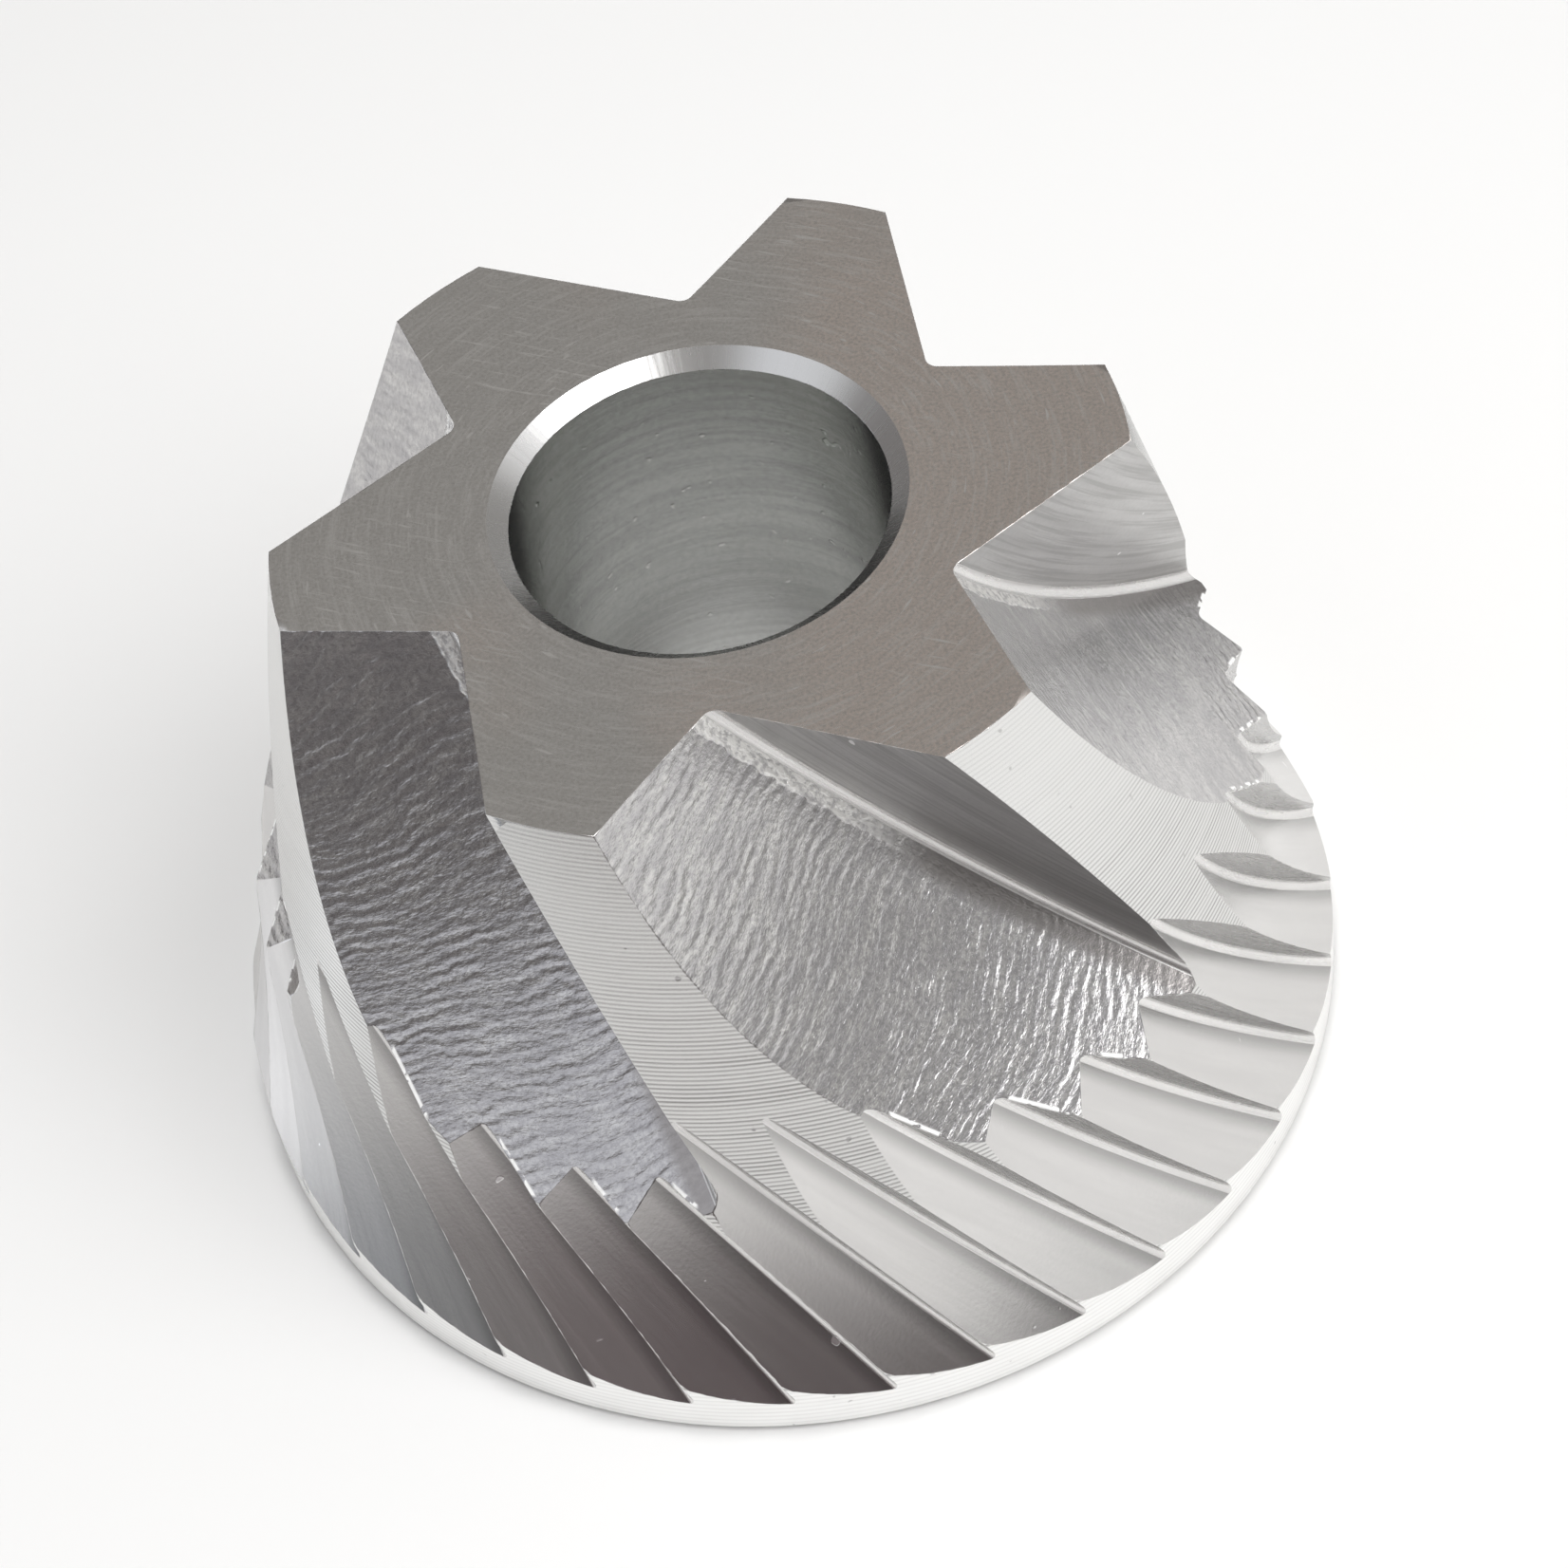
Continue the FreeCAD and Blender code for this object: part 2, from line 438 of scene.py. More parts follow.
TINY = 1e-12          # keeps a division from nought
OUT_OF_REACH = 9.0    # distance that a point gets from a surface that can't reach it, in millimetres
TURN_COST = 0.02      # millimetres that facing another way adds to a match
MEETING_ROUNDS = 5    # moves between two surfaces that bring a point onto their edge
LARGEST_SLIP = 0.05   # millimetres that a point may move to reach its surface
RIM_SHARES = (0.125, 0.375, 0.625, 0.875)   # places along a border edge that fresh points stay clear of
CLEARANCE = 0.6       # between those places and the fresh points, in spacings
OPEN_ANGLE = 0.01     # radians beyond half a turn from which two facing corners are too open
GOOD_FIT = 0.97       # cosines between a triangle and its surface, for turning edges
POOR_FIT = 0.9
FIT_LOSS = 0.01
FIT_GAIN = 0.03
FIT_WEIGHT = 4        # of a better fit against a better shape
FOLDED = 0.8          # cosine under which a moved point goes back
TURNING_ROUNDS = 6    # most passes of edge turning before the points are evened out


def within(spots: np.ndarray, ends: np.ndarray) -> np.ndarray:
    """Which flat spots lie inside the loops that some edges form.

    Args:
        spots: two coordinates a row.
        ends: both ends of each edge.

    Returns:
        True for the spots inside.
    """
    inside = np.zeros(len(spots), bool)
    x, y = spots.T
    for (x0, y0), (x1, y1) in ends:
        if y0 == y1:
            continue
        across = (y0 > y) != (y1 > y)
        inside[across] ^= x[across] < x0 + (y[across] - y0) * (x1 - x0) / (y1 - y0)
    return inside


def dots(first: np.ndarray, second: np.ndarray) -> np.ndarray:
    """Dot product of each row with the same row of the other array."""
    return np.einsum("ij,ij->i", first, second)


def units(vectors: np.ndarray) -> np.ndarray:
    """The vectors, one a row, at length 1."""
    return vectors / np.maximum(np.linalg.norm(vectors, axis=1), TINY)[:, None]


def edge_keys(triangles: np.ndarray, count: int) -> np.ndarray:
    """Numbers for the three edges of each triangle, the same from both sides.

    Args:
        triangles: point numbers, three a row.
        count: how many points there are.

    Returns:
        Three numbers for each triangle, one after another.
    """
    pairs = np.sort(triangles[:, [[0, 1], [1, 2], [2, 0]]].reshape(-1, 2), axis=1)
    return pairs[:, 0] * count + pairs[:, 1]


def tree_of(places: np.ndarray) -> KDTree:
    """A search tree over places, which gives their numbers."""
    tree = KDTree(len(places))
    for number, place in enumerate(places):
        tree.insert(place, number)
    tree.balance()
    return tree


@dataclass
class Skin:
    """Triangles of the burr, each on the surface that formed it.

    points: corners in millimetres.
    triangles: corner numbers, three a row.
    owner: number of each triangle's surface.
    surfaces: the surfaces themselves.
    """

    points: np.ndarray
    triangles: np.ndarray
    owner: np.ndarray
    surfaces: list[Surface]
    sharp_angle: float = 15.0

    @classmethod
    def from_object(cls, source: bpy.types.Object, surfaces: list[Surface]) -> "Skin":
        """Copies an object's triangles, welds their corners and finds each triangle's surface.

        Args:
            source: the mesh object, in metres.
            surfaces: the surfaces it can consist of.

        Returns:
            The skin in millimetres.
        """
        mesh = source.data
        mesh.calc_loop_triangles()
        raw = np.empty(len(mesh.vertices) * 3, np.float32)
        mesh.vertices.foreach_get("co", raw)
        corners = np.empty(len(mesh.loop_triangles) * 3, np.int32)
        mesh.loop_triangles.foreach_get("vertices", corners)
        raw = raw.reshape(-1, 3).astype(float) / MM
        _, first, welded = np.unique(np.round(raw, 4), axis=0, return_index=True, return_inverse=True)
        points = raw[first]
        triangles = welded.reshape(-1)[corners].reshape(-1, 3)
        a, b, c = triangles.T
        triangles = triangles[(a != b) & (b != c) & (c != a)]
        skin = cls(points, triangles, np.zeros(len(triangles), int), surfaces)
        skin.owner = skin._match()
        return skin

    def _facing(self, triangles: np.ndarray) -> tuple[np.ndarray, np.ndarray]:
        """The middle of each triangle, and the unit vector square to it."""
        a, b, c = (self.points[triangles[:, i]] for i in range(3))
        return (a + b + c) / 3, units(np.cross(b - a, c - a))

    def _match(self) -> np.ndarray:
        """The surface nearest to each triangle's corners, with its normal as the second judge."""
        middle, facing = self._facing(self.triangles)
        best = np.full(len(self.triangles), np.inf)
        owner = np.zeros(len(self.triangles), int)
        for number, surface in enumerate(self.surfaces):
            off = np.where(surface.holds(self.points), np.abs(surface.gap(self.points)), OUT_OF_REACH)
            cost = off[self.triangles].max(axis=1)
            close = np.flatnonzero(cost < best)
            cost[close] += TURN_COST * (1 - dots(surface.normal(middle[close]), facing[close]))
            better = close[cost[close] < best[close]]
            best[better] = cost[better]
            owner[better] = number
        LOG.info("worst match of a facet to its surface: %.4f mm", best.max())
        return owner

    def _edges(self) -> tuple[np.ndarray, np.ndarray, np.ndarray]:
        """Edges as point pairs, each triangle's three edges, and each edge's lowest and highest surface."""
        keys, inverse = np.unique(edge_keys(self.triangles, len(self.points)), return_inverse=True)
        inverse = inverse.reshape(-1)
        edges = np.stack([keys // len(self.points), keys % len(self.points)], axis=1)
        owners = np.repeat(self.owner, 3)
        sides = np.empty((len(edges), 2), int)
        sides[:, 0] = len(self.surfaces)
        sides[:, 1] = -1
        np.minimum.at(sides[:, 0], inverse, owners)
        np.maximum.at(sides[:, 1], inverse, owners)
        return edges, inverse.reshape(-1, 3), sides

    def _pairs(self, sides: np.ndarray) -> Iterable[tuple[Surface, Surface, np.ndarray]]:
        """Edges grouped by the two surfaces they lie between."""
        keys = sides[:, 0] * len(self.surfaces) + sides[:, 1]
        order = np.argsort(keys, kind="stable")
        starts = np.flatnonzero(np.r_[True, np.diff(keys[order]) > 0])
        for group in np.split(order, starts[1:]):
            low, high = sides[group[0]]
            yield self.surfaces[low], self.surfaces[high], group

    def _lay(self, points: np.ndarray, sides: np.ndarray) -> np.ndarray:
        """Moves points onto the surface or the two surfaces of their edge."""
        laid = points.copy()
        for first, second, group in self._pairs(sides):
            spot = laid[group]
            for surface in (first, second) * (1 if first is second else MEETING_ROUNDS):
                spot = spot - surface.gap(spot)[:, None] * surface.normal(spot)
            moved = np.linalg.norm(spot - laid[group], axis=1)
            laid[group] = np.where(moved[:, None] < LARGEST_SLIP, spot, laid[group])
        return laid

    def _sharp(self, edges: np.ndarray, sides: np.ndarray) -> np.ndarray:
        """True for the edges where two surfaces meet at an angle."""
        sharp = np.zeros(len(edges), bool)
        middle = self.points[edges].mean(axis=1)
        limit = math.cos(math.radians(self.sharp_angle))
        for first, second, group in self._pairs(sides):
            if first is not second:
                spot = middle[group]
                sharp[group] = dots(first.normal(spot), second.normal(spot)) < limit
        return sharp

    def renew(self, spacing: dict[Region, float]) -> None:
        """Lays fresh, even triangles over each surface, between the borders that it has.

        Args:
            spacing: the distance between points on each region.
        """
        edges, _, sides = self._edges()
        border = sides[:, 0] != sides[:, 1]
        triangles, owners = [], []
        kept = 0
        for number in np.unique(self.owner):
            mine = np.flatnonzero(self.owner == number)
            rim = edges[border & (sides == number).any(axis=1)]
            fresh = self._renewed(number, rim, spacing[self.surfaces[number].region])
            if fresh is None:
                kept += 1
                fresh = self.triangles[mine]
            triangles.append(fresh)
            owners.append(np.full(len(fresh), number))
        self.triangles = np.vstack(triangles)
        self.owner = np.concatenate(owners)
        used, self.triangles = np.unique(self.triangles, return_inverse=True)
        self.points = self.points[used]
        self.triangles = self.triangles.reshape(-1, 3)
        LOG.info("surfaces that kept their packed facets: %d", kept)

    def _renewed(self, number: int, rim: np.ndarray, spacing: float) -> Union[np.ndarray, None]:
        """Fresh triangles of one surface, or None where its borders can't be kept.

        Args:
            number: the surface's number.
            rim: its border edges as point pairs.
            spacing: the distance between points.

        Returns:
            Triangles as point numbers. Their new points are added to the skin.
        """
        surface = self.surfaces[number]
        names = np.unique(rim)
        at_rim = self.points[names]
        local = np.searchsorted(names, rim)
        flat_rim = surface.flat(at_rim)
        ends = flat_rim[local]
        candidates = surface.grid(at_rim, spacing)
        flat = surface.flat(candidates)
        start, end = self.points[rim[:, 0]], self.points[rim[:, 1]]
        tree = tree_of(np.vstack([start * (1 - share) + end * share for share in RIM_SHARES]))
        inside = within(flat, ends)
        clear = np.zeros(len(flat), bool)
        clear[inside] = [tree.find(place)[2] > CLEARANCE * spacing for place in candidates[inside]]
        spots = np.vstack([flat_rim, flat[clear]])
        result = delaunay_2d_cdt([Vector(spot) for spot in spots], local.tolist(), [], 0, 1e-9)
        if any(len(origin) != 1 for origin in result[3]) or len(result[0]) != len(spots):
            return None
        origin = np.array([item[0] for item in result[3]])
        made = origin[np.array(result[2])]
        made = made[within(spots[made].mean(axis=1), ends)]
        a, b, c = (spots[made[:, i]] for i in range(3))
        turned = (b[:, 0] - a[:, 0]) * (c[:, 1] - a[:, 1]) - (b[:, 1] - a[:, 1]) * (c[:, 0] - a[:, 0])
        made = made[np.abs(turned) > TINY]
        keys, count = np.unique(edge_keys(made, len(spots)), return_counts=True)
        wanted = np.sort(local, axis=1)
        if not np.array_equal(np.sort(keys[count == 1]), np.sort(wanted[:, 0] * len(spots) + wanted[:, 1])):
            return None
        numbers = np.concatenate([names, len(self.points) + np.arange(clear.sum())])
        self.points = np.vstack([self.points, candidates[clear]])
        made = numbers[made]
        middle, facing = self._facing(made)
        inwards = dots(facing, surface.normal(middle)) < 0
        made[inwards] = made[inwards][:, ::-1]
        return made

    def refine(self, longest: dict[Region, float], least: float, rounds: int = 9) -> None:
        """Splits long edges in half, and lays the new points on their surfaces.

        Args:
            longest: the longest edge that each region may keep.
            least: edges that cross a narrow strip from rim to rim are split down to this length.
            rounds: the most passes over the mesh.
        """
        limits = np.array([longest[surface.region] for surface in self.surfaces])
        for _ in range(rounds):
            edges, of_triangle, sides = self._edges()
            length = np.linalg.norm(self.points[edges[:, 0]] - self.points[edges[:, 1]], axis=1)
            sharp = self._sharp(edges, sides)
            on_rim = np.zeros(len(self.points), bool)
            on_rim[edges[sharp]] = True
            bridge = on_rim[edges].all(axis=1) & ~sharp & (length > least)
            marked = (length > np.minimum(limits[sides[:, 0]], limits[sides[:, 1]])) | bridge
            if not marked.any():
                break
            self._split(edges, of_triangle, sides, marked)

    def _split(
        self, edges: np.ndarray, of_triangle: np.ndarray, sides: np.ndarray, marked: np.ndarray
    ) -> None:
        """Halves the marked edges and cuts every triangle that they border."""
        middle = np.full(len(edges), -1)
        middle[marked] = len(self.points) + np.arange(marked.sum())
        fresh = self._lay(self.points[edges[marked]].mean(axis=1), sides[marked])
        self.points = np.vstack([self.points, fresh])
        halves = middle[of_triangle]
        triangles, owners = [], []

        def keep(chosen: np.ndarray, *corners: Sequence[np.ndarray]) -> None:
            """Adds one new triangle for each of the chosen old ones."""
            triangles.append(np.stack(corners, axis=1))
            owners.append(self.owner[chosen])

        count = (halves >= 0).sum(axis=1)
        whole = np.flatnonzero(count == 0)
        keep(whole, *self.triangles[whole].T)
        for number in (1, 2, 3):
            for start in range(3):
                order = [start, (start + 1) % 3, (start + 2) % 3]
                cut = halves[:, order] >= 0
                wanted = [place < number for place in range(3)]
                chosen = np.flatnonzero((cut == wanted).all(axis=1) & (count == number))
                if number == 3 and start:
                    continue
                a, b, c = self.triangles[chosen][:, order].T
                ab, bc, ca = halves[chosen][:, order].T
                if number == 1:
                    keep(chosen, a, ab, c)
                    keep(chosen, ab, b, c)
                elif number == 2:
                    keep(chosen, ab, b, bc)
                    long_a = np.linalg.norm(self.points[a] - self.points[bc], axis=1)
                    long_c = np.linalg.norm(self.points[c] - self.points[ab], axis=1)
                    by_a = long_a < long_c
                    keep(chosen, a, ab, np.where(by_a, bc, c))
                    keep(chosen, np.where(by_a, a, ab), bc, c)
                else:
                    keep(chosen, a, ab, ca)
                    keep(chosen, ab, b, bc)
                    keep(chosen, bc, c, ca)
                    keep(chosen, ab, bc, ca)
        self.triangles = np.vstack(triangles)
        self.owner = np.concatenate(owners)

    def _fit(self, triangles: np.ndarray, owner: np.ndarray) -> np.ndarray:
        """How well triangles face the way their surfaces do, 1 at best."""
        middle, facing = self._facing(triangles)
        fit = np.empty(len(triangles))
        for number in np.unique(owner):
            mine = np.flatnonzero(owner == number)
            fit[mine] = dots(self.surfaces[number].normal(middle[mine]), facing[mine])
        return fit

    def _corner_angle(self, tip: np.ndarray, first: np.ndarray, second: np.ndarray) -> np.ndarray:
        """Angle at one corner of each triangle."""
        a, b = self.points[first] - self.points[tip], self.points[second] - self.points[tip]
        return np.arctan2(np.linalg.norm(np.cross(a, b), axis=1), dots(a, b))

    def _turn_edges(self) -> int:
        """Turns the edges inside a surface that make better triangles the other way round.

        Returns:
            How many edges were turned.
        """
        edges, of_triangle, sides = self._edges()
        slots = np.argsort(of_triangle.reshape(-1), kind="stable").reshape(-1, 2)
        (first, second), (start, other) = (slots // 3).T, (slots % 3).T
        a, b = self.triangles[first, start], self.triangles[first, (start + 1) % 3]
        c, d = self.triangles[first, (start + 2) % 3], self.triangles[second, (other + 2) % 3]
        excess = self._corner_angle(c, a, b) + self._corner_angle(d, a, b) - math.pi
        fit = self._fit(self.triangles, self.owner)
        old = np.minimum(fit[first], fit[second])
        wanted = np.flatnonzero((sides[:, 0] == sides[:, 1]) & ((excess > OPEN_ANGLE) | (old < POOR_FIT)))
        a, b, c, d = a[wanted], b[wanted], c[wanted], d[wanted]
        owner = self.owner[first[wanted]]
        one, two = np.stack([a, d, c], axis=1), np.stack([d, b, c], axis=1)
        new = np.minimum(self._fit(one, owner), self._fit(two, owner))
        keys = edges[:, 0] * len(self.points) + edges[:, 1]
        crossing = np.minimum(c, d) * len(self.points) + np.maximum(c, d)
        free = ~np.isin(crossing, keys)
        old, excess = old[wanted], excess[wanted]
        rounder = (excess > OPEN_ANGLE) & (new > np.minimum(old, GOOD_FIT) - FIT_LOSS)
        better = free & (rounder | (new > old + FIT_GAIN))
        gain = np.where(better, excess + FIT_WEIGHT * (new - old), -np.inf)
        rank = np.empty(len(gain), int)
        rank[np.argsort(-gain, kind="stable")] = np.arange(len(gain))
        leader = np.full(len(self.triangles), len(gain))
        first, second = first[wanted], second[wanted]
        np.minimum.at(leader, first[better], rank[better])
        np.minimum.at(leader, second[better], rank[better])
        chosen = np.flatnonzero(better & (rank == leader[first]) & (rank == leader[second]))
        self.triangles[first[chosen]] = one[chosen]
        self.triangles[second[chosen]] = two[chosen]
        return len(chosen)

    def _even_out(self) -> None:
        """Moves the points inside each surface half way to the middle of their neighbours, along it."""
        edges, _, sides = self._edges()
        inside = np.ones(len(self.points), bool)
        inside[edges[sides[:, 0] != sides[:, 1]]] = False
        total, count = np.zeros_like(self.points), np.zeros(len(self.points))
        for here, there in (edges.T, edges[:, ::-1].T):
            np.add.at(total, here, self.points[there])
            np.add.at(count, here, 1)
        before = self.points.copy()
        owner = np.zeros(len(self.points), int)
        owner[self.triangles] = self.owner[:, None]
        moved = np.flatnonzero(inside)
        target = (before[moved] + total[moved] / count[moved][:, None]) / 2
        self.points[moved] = self._lay(target, np.stack([owner[moved]] * 2, axis=1))
        folded = self._fit(self.triangles, self.owner) < FOLDED
        back = np.unique(self.triangles[folded])
        self.points[back] = before[back]

    def settle(self, rounds: int) -> None:
        """Gives the triangles better shapes without leaving their surfaces.

        Args:
            rounds: how often edges are turned and points evened out.
        """
        for _ in range(rounds):
            for _ in range(TURNING_ROUNDS):
                if not self._turn_edges():
                    break
            self._even_out()

    def normals(self) -> np.ndarray:
        """The true normal of its own surface at each corner of each triangle."""
        return self._at_corners(lambda surface, points: surface.normal(points))

    def paths(self) -> np.ndarray:
        """The tool's path at each corner of each triangle."""
        return self._at_corners(lambda surface, points: surface.path(points))

    def _at_corners(self, measure) -> np.ndarray:
        """What each triangle's surface says of its corners."""
        found = np.empty((len(self.triangles), 3, 3))
        for number in np.unique(self.owner):
            mine = np.flatnonzero(self.owner == number)
            spots = self.points[self.triangles[mine].reshape(-1)]
            found[mine] = measure(self.surfaces[number], spots).reshape(-1, 3, 3)
        return found.reshape(-1, 3)

    def rims(self, spacing: float = 0.1) -> tuple[np.ndarray, np.ndarray, np.ndarray]:
        """How far each point is from the nearest crisp edge, and what that edge is like.

        Args:
            spacing: distance between the places that stand for an edge.

        Returns:
            A distance for each point, the mean of the two normals at the edge nearest to it, and 1 where
            a groove's wall has cut that edge into a flute's floor and left burrs on it.
        """
        edges, _, sides = self._edges()
        sharp = self._sharp(edges, sides)
        edges, sides = edges[sharp], sides[sharp]
        regions = [surface.region for surface in self.surfaces]
        floors = np.array([region is Region.FLUTE_FLOOR for region in regions])[sides]
        walls = np.array([region is Region.GROOVE_WALL for region in regions])[sides]
        burred = floors.any(axis=1) & walls.any(axis=1)
        start, end = self.points[edges[:, 0]], self.points[edges[:, 1]]
        facing = np.empty_like(start)
        middle = (start + end) / 2
        for first, second, group in self._pairs(sides):
            facing[group] = units(first.normal(middle[group]) + second.normal(middle[group]))
        length = np.linalg.norm(end - start, axis=1)
        steps = np.maximum(1, np.ceil(length / spacing)).astype(int)
        number = np.repeat(np.arange(len(edges)), steps)
        share = (np.arange(len(number)) - np.repeat(np.cumsum(steps) - steps, steps) + 0.5) / steps[number]
        places = start[number] + (end - start)[number] * share[:, None]
        tree = tree_of(places)
        edge = number[[tree.find(point)[1] for point in self.points]]
        direction = units(end - start)[edge]
        offset = self.points - start[edge]
        run = np.clip(dots(offset, direction), 0, length[edge])
        gap = np.linalg.norm(offset - direction * run[:, None], axis=1)
        return gap, facing[edge], burred[edge].astype(float)


# Shader maths as expressions


@dataclass(frozen=True)
class Wire:
    """An output of a shader node that takes part in plain expressions."""

    graph: "Graph"
    socket: bpy.types.NodeSocket

    @property
    def is_vector(self) -> bool:
        """True where the socket carries three numbers."""
        return self.socket.type == "VECTOR"

    def _worked(self, operation: str, *operands: "Operand") -> "Wire":
        """One Math or Vector Math node on the operands."""
        if any(isinstance(item, Wire) and item.is_vector for item in operands):
            return self.graph.vector_math(operation, *operands)
        return self.graph.math(operation, *operands)

    def __add__(self, other: "Operand") -> "Wire":
        """Sum."""
        return self._worked("ADD", self, other)

    def __radd__(self, other: "Operand") -> "Wire":
        """Sum with the wire on the right."""
        return self._worked("ADD", other, self)

    def __sub__(self, other: "Operand") -> "Wire":
        """Difference."""
        return self._worked("SUBTRACT", self, other)

    def __rsub__(self, other: "Operand") -> "Wire":
        """Difference with the wire on the right."""
        return self._worked("SUBTRACT", other, self)

    def __mul__(self, other: "Operand") -> "Wire":
        """Product."""
        return self._worked("MULTIPLY", self, other)

    def __rmul__(self, other: "Operand") -> "Wire":
        """Product with the wire on the right."""
        return self._worked("MULTIPLY", other, self)

    def __truediv__(self, other: "Operand") -> "Wire":
        """Quotient."""
        return self._worked("DIVIDE", self, other)

    def __neg__(self) -> "Wire":
        """The value with its sign turned."""
        return self._worked("MULTIPLY", self, -1.0)

    def __pow__(self, power: "Operand") -> "Wire":
        """A power of the value."""
        return self._worked("POWER", self, power)

    def sine(self) -> "Wire":
        """Sine of the value in radians."""
        return self._worked("SINE", self)

    def least(self, other: "Operand") -> "Wire":
        """The smaller of two values."""
        return self._worked("MINIMUM", self, other)

    def most(self, other: "Operand") -> "Wire":
        """The larger of two values."""
        return self._worked("MAXIMUM", self, other)

    def part(self, axis: str) -> "Wire":
        """One of a vector's three numbers: X, Y or Z."""
        return self.graph.node("ShaderNodeSeparateXYZ", {}, {"Vector": self}, axis)

    def ease(self, start: float, end: float, low: float = 0.0, high: float = 1.0) -> "Wire":
        """A smooth change from low to high while the value goes from start to end."""
        return self.graph.node(
            "ShaderNodeMapRange",
            {"interpolation_type": "SMOOTHSTEP"},
            {"Value": self, "From Min": start, "From Max": end, "To Min": low, "To Max": high},
            "Result",
        )


Operand = Union[Wire, float, int, tuple, Vector]


@dataclass
class Graph:
    """A node tree that grows from expressions."""

    tree: bpy.types.NodeTree

    def node(self, kind: str, settings: dict, inputs: dict, output: Union[str, int] = 0) -> Wire:
        """Adds one node.

        Args:
            kind: the node's type.
            settings: its properties, set first. The key stops gives a colour ramp's positions and colours.
            inputs: values or wires for its sockets, by name or by number.
            output: the output to go on with.

        Returns:
            The wire from that output.
        """
        node = self.tree.nodes.new(kind)
        for name, value in settings.items():
            if name == "stops":
                self._set_stops(node.color_ramp, value)
            else:
                setattr(node, name, value)
        for name, value in inputs.items():
            self.feed(node.inputs[name], value)
        return Wire(self, node.outputs[output])

    @staticmethod
    def _set_stops(ramp: bpy.types.ColorRamp, stops: Sequence[tuple[float, Colour]]) -> None:
        """Gives a colour ramp its stops."""
        while len(ramp.elements) < len(stops):
            ramp.elements.new(0.5)
        for element, (position, colour) in zip(ramp.elements, stops):
            element.position = position
            element.color = (*colour, 1.0)

    def feed(self, socket: bpy.types.NodeSocket, value: Operand) -> None:
        """Links a wire to a socket, or sets the socket's value."""
        if isinstance(value, Wire):
            self.tree.links.new(value.socket, socket)
        elif isinstance(value, (int, float)) or socket.type != "RGBA":
            socket.default_value = value
        else:
            socket.default_value = (*value, 1.0) if len(value) == 3 else value

    def feed_node(self, name: str, inputs: dict[str, Operand]) -> None:
        """Feeds sockets of a node that the tree came with."""
        for socket, value in inputs.items():
            self.feed(self.tree.nodes[name].inputs[socket], value)

    def math(self, operation: str, *operands: Operand) -> Wire:
        """One Math node."""
        return self.node("ShaderNodeMath", {"operation": operation}, dict(enumerate(operands)))

    def vector_math(self, operation: str, *operands: Operand) -> Wire:
        """One Vector Math node. A plain number stands for three equal ones."""
        full = [(item,) * 3 if isinstance(item, (int, float)) else item for item in operands]
        output = "Value" if operation in ("DOT_PRODUCT", "LENGTH") else "Vector"
        return self.node("ShaderNodeVectorMath", {"operation": operation}, dict(enumerate(full)), output)

    def vector(self, x: Operand, y: Operand, z: Operand) -> Wire:
        """A vector from three values."""
        return self.node("ShaderNodeCombineXYZ", {}, {"X": x, "Y": y, "Z": z})

    def blend(self, share: Operand, first: Operand, second: Operand) -> Wire:
        """A colour between two colours."""
        return self.node(
            "ShaderNodeMix",
            {"data_type": "RGBA", "clamp_factor": True},
            {"Factor": share, 6: first, 7: second},
            2,
        )

    def shift(self, share: Operand, first: Operand, second: Operand) -> Wire:
        """A vector between two vectors."""
        return self.node("ShaderNodeMix", {"data_type": "VECTOR"}, {"Factor": share, 4: first, 5: second}, 1)

    def noise(self, place: Wire, scale: float = 1.0, detail: float = 2.0, roughness: float = 0.5) -> Wire:
        """Soft noise between 0 and 1 at a place in millimetres."""
        return self.node(
            "ShaderNodeTexNoise",
            {"noise_dimensions": "3D"},
            {"Vector": place, "Scale": scale, "Detail": detail, "Roughness": roughness},
            "Fac",
        )

    def noise_at(self, x: Operand, y: Operand, z: Operand, detail: float, roughness: float = 0.5) -> Wire:
        """The same noise at a place that three values give."""
        return self.noise(self.vector(x, y, z), 1.0, detail, roughness)

    def attribute(self, name: str, output: str) -> Wire:
        """A value stored on the mesh."""
        return self.node("ShaderNodeAttribute", {"attribute_name": name}, {}, output)


def new_material(name: str) -> tuple[bpy.types.Material, Graph]:
    """A new material and its graph."""
    material = bpy.data.materials.new(name)
    material.use_nodes = True
    return material, Graph(material.node_tree)


def placed(name: str, data: bpy.types.ID) -> bpy.types.Object:
    """A new object at the origin, in the scene."""
    thing = bpy.data.objects.new(name, data)
    bpy.context.scene.collection.objects.link(thing)
    return thing


def meshed(name: str, shape: bmesh.types.BMesh) -> bpy.types.Mesh:
    """The mesh of a working shape, which is freed."""
    mesh = bpy.data.meshes.new(name)
    shape.to_mesh(mesh)
    shape.free()
    return mesh


# Finishes


PATH = "tool_path"
RIM_GAP = "rim_gap"
RIM_NORMAL = "rim_normal"
RIM_BURRS = "rim_burrs"


@dataclass(frozen=True)
class Skim:
    """What a finish gives the shader: colour, roughness, and height in millimetres."""

    colour: Operand
    roughness: Operand
    height: Wire


